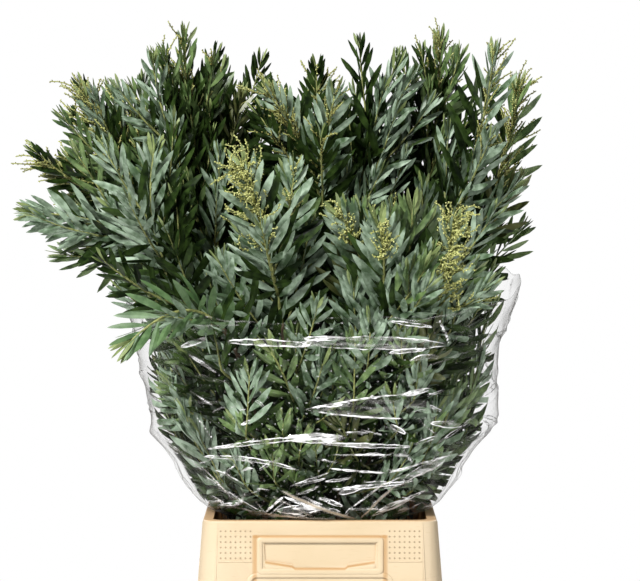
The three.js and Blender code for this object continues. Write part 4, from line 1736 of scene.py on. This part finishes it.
@dataclass
class Buds:
    """Strings of small round buds on thin stalks, in the axils near the tips of budded shoots."""

    bunch: Bunch
    side_rule: StringRule = StringRule()
    crowded_side_rule: StringRule = StringRule(length=0.62)
    leader_rule: StringRule = StringRule(0.13, 150, length=1.0)
    tuft_rule: StringRule = StringRule(0.048, 62, 70.0, 0.45, 0.62, 0.3, 0.30)
    head_rule: StringRule = StringRule(0.112, 96, 70.0, 0.45, 1.0, 0.3, 0.30)
    stalk_lengths: Span = (0.022, 0.050)
    least_lean: float = 18.0
    short_chance: float = 0.6
    short_share: float = 0.48
    stalk_radius: float = 0.0012
    stalk_tip: float = 0.0008
    stalk_pitch: float = 0.009
    stalk_sides: int = 3
    film_margin: float = 0.009
    bead_start: float = 0.004
    bead_pitch: float = 0.0030
    bead_swing: float = 2.4
    bead_offset: float = 0.0012
    bead_sizes: Span = (0.0010, 0.0015)
    front: float = -0.15
    olive_chance: float = 0.8

    def _rule(self, shoot: Shoot) -> StringRule:
        """How strings stand on a shoot: as a thick head, a small tuft, or along a leader or side shoot.

        Args:
            shoot: The shoot.

        Returns:
            The rule for its kind.
        """
        crowded = shoot.buds > 0.55
        if not shoot.woody:
            return self.crowded_side_rule if crowded else self.side_rule
        return self.head_rule if shoot.buds > 0.9 else self.tuft_rule if crowded else self.leader_rule

    @staticmethod
    def _bead_pattern() -> tuple[Array, Array]:
        """A small round bud: a pole, a ring of six points and a pole.

        Returns:
            Unit points, a little longer than wide, and triangles.
        """
        turn = np.arange(6) * math.pi / 3
        ring = np.stack([np.cos(turn), np.sin(turn), 0.0 * turn], axis=-1)
        points = np.concatenate([[[0, 0, 1.25]], ring, [[0, 0, -1.25]]])
        return points, np.concatenate([fan(0, 1, 6, True), fan(7, 1, 6, False)])

    def _strings(self, shoot: Shoot, rng: np.random.Generator) -> list[Shoot]:
        """The thin stalks that carry a shoot's buds.

        They lean out and hang a little, and on a sparsely budded shoot most of them are short.

        Args:
            shoot: The shoot.
            rng: Its source of differences.

        Returns:
            The stalks.
        """
        film, rule = self.bunch.film, self._rule(shoot)
        count = int(rule.count * shoot.buds)
        at = shoot.length - min(rule.reach, shoot.length * 0.8) * rng.random(count) ** 1.15
        way, across, other = shoot.frames(at)
        out = turned(across, other, np.arange(count) * GOLDEN_ANGLE)
        lean = np.radians(rng.uniform(self.least_lean, rule.lean, count))
        roots = shoot.at(at)
        first = unit(turned(way, out, lean) + outward(roots) * rule.outward)
        length = rng.uniform(*self.stalk_lengths, count) * rule.length
        length[(rng.random(count) < self.short_chance) & (shoot.buds < 0.4)] *= self.short_share
        inside = np.where(film.below_hem(roots), shoot.inside, film.share(roots) < 1)
        droop = -length * rng.uniform(0.0, rule.droop, count)
        made = []
        for k in range(count):
            end = roots[k] + first[k] * length[k] + np.array([0, 0, droop[k]])
            bend = rng.normal(0.0, rule.bend, 3) * length[k]
            line = bezier([roots[k], roots[k] + first[k] * length[k] * 0.6 + bend, end], 7)
            line = film.hold(line[None], inside[k : k + 1], self.film_margin)[0]
            if self.bunch.in_box(line[None])[0]:
                made.append(Shoot(line, self.stalk_radius, self.stalk_tip, shoot.tone))
        return made

    def _beads(self, stalk: Shoot, rng: np.random.Generator) -> Array:
        """The buds along one stalk, which swing round it, lean out and get smaller to its end.

        Args:
            stalk: The stalk.
            rng: Its source of differences.

        Returns:
            Points, (buds, 8, 3).
        """
        bead, _ = self._bead_pattern()
        at = np.arange(self.bead_start, stalk.length, self.bead_pitch)
        way, side, up = stalk.frames(at)
        out = turned(side, up, np.arange(len(at)) * self.bead_swing + rng.uniform(0, 6))
        centre = stalk.at(at) + out * self.bead_offset
        size = rng.uniform(*self.bead_sizes, len(at)) * (1.1 - 0.35 * at / stalk.length)
        long = unit(way + out * 0.7)
        wide = unit(np.cross(long, out) + 1e-6)
        axes = np.stack([wide, np.cross(long, wide), long], axis=1)
        return centre[:, None] + (bead @ axes) * size[:, None, None]

    def build(self) -> None:
        """Builds the buds, green-gold ones and, mostly further back, olive ones, and their stalks."""
        rng = np.random.default_rng(self.bunch.seed + 21)
        _, faces = self._bead_pattern()
        golden, olive, stalks = Soup(), Soup(), Soup()
        for shoot in (shoot for shoot in self.bunch.shoots if shoot.buds > 0):
            dull = shoot.buds < 0.9 and shoot.line[-1, 1] > self.front
            for stalk in self._strings(shoot, rng):
                stalks.add(*stalk.tapered(0.0, self.stalk_pitch, self.stalk_sides))
                points = self._beads(stalk, rng)
                (olive if dull and rng.random() < self.olive_chance else golden).add(points, faces)
        for name, soup, dark, light, skin in (
            ("golden_bud", golden, (0.370, 0.380, 0.090), (0.700, 0.710, 0.300), BUD_SKIN),
            ("olive_bud", olive, (0.120, 0.112, 0.022), (0.270, 0.245, 0.062), BUD_SKIN),
            ("bud_stalk", stalks, (0.220, 0.240, 0.064), (0.420, 0.440, 0.155), ()),
        ):
            finish = SkinFinish(name, dark, light, *skin)
            make_piece(soup.mesh(name + "s"), finish.material())


# The container


@dataclass
class FlowerContainer:
    """The tapered tub with its skirt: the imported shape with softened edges, and raised mouldings.

    Frame, plate and panel are rounded rectangles on the sides: width, drops of the upper and lower
    edge, and corner radius. A strip is half its width and how far it stands out.
    """

    height: float = 0.335
    rim: Span = (0.283, 0.383)
    skirt: Span = (0.300, 0.400)
    drop: float = 0.108
    edge: float = 0.0011
    frame: tuple[float, ...] = (0.146, 0.0225, 0.0610, 0.003)
    frame_strip: Span = (0.0046, 0.0022)
    plate: tuple[float, ...] = (0.172, 0.0655, 0.1075, 0.010)
    plate_strip: Span = (0.0032, 0.0013)
    panel: tuple[float, ...] = (0.132, 0.028, 0.074, 0.016)
    panel_strip: Span = (0.0040, 0.0016)
    lip: tuple[Span, ...] = ((0.066, 0.0550), (0.052, 0.0563), (0.036, 0.0580), (0.031, 0.0605))
    lip_strip: Span = (0.0030, 0.0016)
    side_edges: Span = (0.1235, 0.168)
    step_reaches: Span = (0.041, 0.050)
    step_drop: float = 0.0490
    stud_inset: float = 0.0215
    stud_pitch: Span = (0.0060, 0.0065)
    stud_grid: tuple[int, int] = (7, 6)
    stud_sides: int = 10
    material: bpy.types.Material = field(init=False)

    def __post_init__(self) -> None:
        """Makes the plastic once for all pieces."""
        self.material = MouldedPlastic().material()

    def _shell(self) -> None:
        """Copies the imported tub, joins its triangles to flat faces and rounds its edges."""
        work = bmesh.new()
        work.from_mesh(bpy.data.objects["flower_container"].data)
        bmesh.ops.remove_doubles(work, verts=work.verts, dist=1e-5)
        bmesh.ops.dissolve_limit(work, angle_limit=math.radians(0.6), verts=work.verts, edges=work.edges)
        inner = [f.normal.xy.dot(f.calc_center_median().xy) < -1e-4 for f in work.faces]
        mesh = bpy.data.meshes.new("container_shell")
        work.to_mesh(mesh)
        work.free()
        # Inner faces get the material's painted glow of light through the plastic.
        mesh.attributes.new("inner", "FLOAT", "FACE").data.foreach_set("value", np.array(inner, np.float32))
        piece = make_piece(mesh, self.material, ["flower_container"])
        bevel = piece.modifiers.new("soft_edges", "BEVEL")
        bevel.width, bevel.segments = self.edge, 2
        bevel.limit_method, bevel.angle_limit = "ANGLE", math.radians(35)
        bevel.harden_normals = False
        mesh.set_sharp_from_angle(angle=math.radians(30))

    def _on_side(self, across: Array, drop: Array, proud: Array, turns: int) -> Array:
        """Points on a side of the skirt.

        The side leans out by (skirt - rim) / 2 over the drop, and is turned by quarter turns about
        the middle.

        Args:
            across: Places along the side.
            drop: Distances below the rim.
            proud: Distances out of the side.
            turns: Quarter turns from the front.

        Returns:
            The points.
        """
        way = 1 if turns % 2 == 0 else 0
        half = self.rim[way] / 2 + (self.skirt[way] - self.rim[way]) / 2 * drop / self.drop
        x, y, z = across, -(half + proud), self.height - drop
        for _ in range(turns):
            x, y = -y, x
        return np.stack(np.broadcast_arrays(x, y, z), axis=-1)

    def _strip(self, soup: Soup, path: Array, size: Span, turns: int, closed: bool = False) -> None:
        """A raised moulding along a path on a side.

        Its section is a low dome of seven points, height (1 - v^4) for v from -1 to 1, carried along
        the path, with feet sunk into the wall.

        Args:
            soup: Where it goes.
            path: Places (across, drop) along the side.
            size: Half its width, and how far it stands out.
            turns: Quarter turns from the front.
            closed: True joins its end to its start.
        """
        half, height = size
        ahead = np.gradient(path, axis=0)
        if closed:
            ahead = np.roll(path, -1, axis=0) - np.roll(path, 1, axis=0)
        ahead = unit(ahead)
        side = np.stack([-ahead[:, 1], ahead[:, 0]], axis=-1)
        v = np.array([-1.0, -0.82, -0.45, 0.0, 0.45, 0.82, 1.0])
        dome = height * (1 - v**4)
        dome[[0, -1]] = -0.0008
        place = path[:, None] + side[:, None] * (v * half)[None, :, None]
        points = self._on_side(place[..., 0], place[..., 1], dome[None], turns)
        if closed:
            points = np.concatenate([points, points[:1]])
        rows, columns = points.shape[:2]
        soup.add(points.reshape(-1, 3), grid_faces(rows, columns, closed=False))

    @staticmethod
    def _rounded(width: float, top: float, bottom: float, corner: float, open_foot: bool = False) -> Array:
        """A rounded rectangle as a path (across, drop), or only its top and sides.

        Args:
            width: Its width.
            top: The drop of its upper edge.
            bottom: The drop of its lower edge.
            corner: Its corner radius.
            open_foot: True leaves the lower edge out.

        Returns:
            The path's points.
        """
        half, arc = width / 2, np.linspace(0, math.pi / 2, 7)
        along, away = corner * np.cos(arc), corner * np.sin(arc)
        corners = [
            (-half + corner - along, top + corner - away),
            (half - corner + away, top + corner - along),
            (half - corner + along, bottom - corner + away),
            (-half + corner - away, bottom - corner + along),
        ]
        if open_foot:
            corners = [([-half], [bottom]), *corners[:2], ([half], [bottom])]
        return np.concatenate([np.stack(pair, axis=-1) for pair in corners])

    def _studs(self, soup: Soup, middle: float, turns: int) -> None:
        """A field of small round studs: at each place of a grid, rings (r cos a, r sin a) that rise.

        Args:
            soup: Where they go.
            middle: The field's place along the side.
            turns: Quarter turns from the front.
        """
        (columns, rows), (pitch_x, pitch_z) = self.stud_grid, self.stud_pitch
        x = middle + (np.arange(columns) - (columns - 1) / 2) * pitch_x
        z = 0.0125 + np.arange(rows) * pitch_z
        centre = np.stack(np.meshgrid(x, z), axis=-1).reshape(-1, 2)
        turn, sides = ring_turns(self.stud_sides), self.stud_sides
        radius = np.array([0.00140, 0.00105, 0.0005])[:, None]
        rise = np.append(np.repeat(np.array([-0.0004, 0.00055, 0.0008]), sides), 0.00085)
        across = np.append(radius * np.cos(turn), 0.0)[None] + centre[:, :1]
        drop = np.append(radius * np.sin(turn), 0.0)[None] + centre[:, 1:]
        points = self._on_side(across, drop, rise[None], turns)
        rings = len(radius)
        top = fan(rings * sides, (rings - 1) * sides, sides, False)
        soup.add(points, top, grid_faces(rings, sides, closed=True)[:, ::-1])

    def _side(self, strips: Soup, studs: Soup, turns: int) -> None:
        """The mouldings of one side.

        A short side has the card frame, lips and the plate's border, and a long one a panel. Each
        has an upright strip, a step and studs near either corner.

        Args:
            strips: Where the strips go.
            studs: Where the studs go.
            turns: Quarter turns from the front.
        """
        long = turns % 2
        if long:
            self._strip(strips, self._rounded(*self.panel), self.panel_strip, turns, closed=True)
        else:
            self._strip(strips, self._rounded(*self.frame), self.frame_strip, turns, closed=True)
            self._strip(strips, self._rounded(*self.plate, open_foot=True), self.plate_strip, turns)
            lip = np.array(self.lip)
            lip = np.concatenate([np.linspace(a, b, 5)[:-1] for a, b in zip(lip, lip[1:])] + [lip[-1:]])
            for sign in (-1, 1):
                self._strip(strips, lip * np.array([sign, 1]), self.lip_strip, turns)
        edge, reach = self.side_edges[long], self.step_reaches[long]
        for sign in (-1, 1):
            down = np.stack([np.full(16, sign * edge), np.linspace(0.003, 0.1070, 16)], axis=-1)
            down[:, 0] += sign * 0.004 * down[:, 1] / self.drop
            self._strip(strips, down, (0.0010, 0.0007), turns)
            across = np.linspace(edge - reach, edge - 0.001, 8) * sign
            step = np.stack([across, np.full(8, self.step_drop)], axis=-1)
            self._strip(strips, step, (0.0010, 0.0010), turns)
            self._studs(studs, sign * (edge - self.stud_inset), turns)

    def build(self) -> None:
        """Builds the shell, the raised mouldings and the studs, which are coloured darker as painted shade.

        Faces of the last two that point to the container's middle are turned.
        """
        self._shell()
        strips, studs = Soup(), Soup()
        for turns in range(4):
            self._side(strips, studs, turns)
        # The studs' dark colours are painted shade, as of small dimples.
        dark = MouldedPlastic(
            "stud_painted_shade", (0.350, 0.270, 0.165), (0.400, 0.310, 0.195), (0.300, 0.220, 0.130)
        )
        for name, soup in (("container_mouldings", strips), ("container_studs", studs)):
            mesh, work = soup.mesh(name), bmesh.new()
            work.from_mesh(mesh)
            wrong = [f for f in work.faces if f.normal.xy.dot(f.calc_center_median().xy) < -1e-9]
            bmesh.ops.reverse_faces(work, faces=wrong)
            work.to_mesh(mesh)
            work.free()
            make_piece(mesh, self.material if soup is strips else dark.material())


# The studio


@dataclass
class Studio:
    """A white studio: a round pale floor, white walls, soft lamps and the photo's camera.

    The picture's size, focal length and horizon are in pixels. A lamp is its name, place, aim,
    width and height, and power in watts.
    """

    width: float = 640.0
    height: float = 581.0
    focal: float = 4152.0
    eye: Vector3 = (0.0, -5.19, 0.79)
    horizon: float = 143.5
    sensor: float = 36.0
    floor_points: int = 96
    floor_rings: Span = (0.8, 2.2)
    room_light: float = 0.048
    lamps: tuple[tuple[str, Vector3, Vector3, Span, float], ...] = (
        ("key_left", (-1.6, -2.8, 3.0), (0, 0, 0.60), (0.9, 0.9), 250.0),
        ("fill_right", (2.3, -2.5, 1.3), (0, 0, 0.55), (1.0, 1.4), 28.0),
        ("back_left", (-1.6, 2.4, 2.2), (0, 0, 0.6), (1.2, 1.4), 26.0),
        ("back_right", (1.6, 2.4, 2.2), (0, 0, 0.6), (1.2, 1.4), 26.0),
    )

    def _camera(self) -> None:
        """Puts the camera at the photo's place: focal length in pixels over the sensor's width."""
        data = bpy.data.cameras.new("photo_camera")
        data.sensor_width = self.sensor
        data.lens = self.focal / self.width * data.sensor_width
        data.clip_end = 60.0
        camera = put_in_scene("photo_camera", data)
        camera.location = self.eye
        pitch = math.atan2(self.height / 2 - self.horizon, self.focal)
        camera.rotation_euler = (math.pi / 2 - pitch, 0.0, 0.0)
        bpy.context.scene.camera = camera

    def _floor(self) -> None:
        """A round pale floor: rings of points (r cos a, r sin a, 0) round a middle one."""
        count, turn = self.floor_points, ring_turns(self.floor_points)
        rings = [np.stack([r * np.cos(turn), r * np.sin(turn), 0 * turn], axis=-1) for r in self.floor_rings]
        soup = Soup()
        middle = fan(len(rings) * count, 0, count, True)
        walls = grid_faces(len(rings), count, closed=True)[:, ::-1]
        soup.add(np.concatenate([*rings, [[0.0, 0.0, 0.0]]]), middle, walls)
        mesh = soup.mesh("studio_floor")
        sheet = NodeSheet("pale_floor")
        mesh.materials.append(sheet.surface({
            "Base Color": sheet.mix(sheet.noise(3.0, 2.0), (0.90, 0.90, 0.90), (0.94, 0.94, 0.94)),
            "Roughness": 0.8,
            "Emission Color": (1.0, 1.0, 1.0, 1.0),
            "Emission Strength": 0.10,
        }))
        put_in_scene("studio_floor", mesh)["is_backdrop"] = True

    def _surroundings(self) -> None:
        """White walls to the eye, which light the object only as much as room_light says."""
        sheet = NodeSheet("white_studio", world=True)
        white = {"Color": (1.0, 1.0, 1.0, 1.0)}
        seen = sheet.node("ShaderNodeBackground", {}, white)[0]
        lit = sheet.node("ShaderNodeBackground", {}, {**white, "Strength": self.room_light})[0]
        straight = sheet.node("ShaderNodeLightPath", {}, {})[0]
        mixed = sheet.node("ShaderNodeMixShader", {}, {0: straight, 1: lit, 2: seen})[0]
        bpy.context.scene.world = sheet.finish(mixed)

    def _hang_lamps(self) -> None:
        """Hangs the soft rectangular lamps, each turned to its aim."""
        for name, place, aim, size, power in self.lamps:
            data = bpy.data.lights.new(name, "AREA")
            data.shape = "RECTANGLE"
            data.size, data.size_y = size
            data.energy = power
            lamp = put_in_scene(name, data)
            lamp.location = place
            lamp.rotation_euler = (Vector(aim) - Vector(place)).to_track_quat("-Z", "Y").to_euler()

    def build(self) -> None:
        """Sets the camera, the floor, the white surroundings and the lamps."""
        self._camera()
        self._floor()
        self._surroundings()
        self._hang_lamps()
        bpy.context.scene.view_settings.view_transform = "Standard"


def as_lists(bounds: Any) -> list[list[float]]:
    """The corners of a box as plain lists of numbers."""
    return [[float(value) for value in corner] for corner in bounds]


def main() -> None:
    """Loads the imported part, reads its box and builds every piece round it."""
    logging.basicConfig(level=logging.INFO, format="%(name)s: %(message)s")
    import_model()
    packed = as_lists(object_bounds())
    Studio().build()
    FlowerContainer().build()
    film = FilmSleeve()
    film.build()
    bunch = Bunch(film, np.array(packed))
    bunch.grow()
    Wood(bunch).build()
    Foliage(bunch).build()
    Buds(bunch).build()
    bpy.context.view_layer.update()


if __name__ == "__main__":
    main()
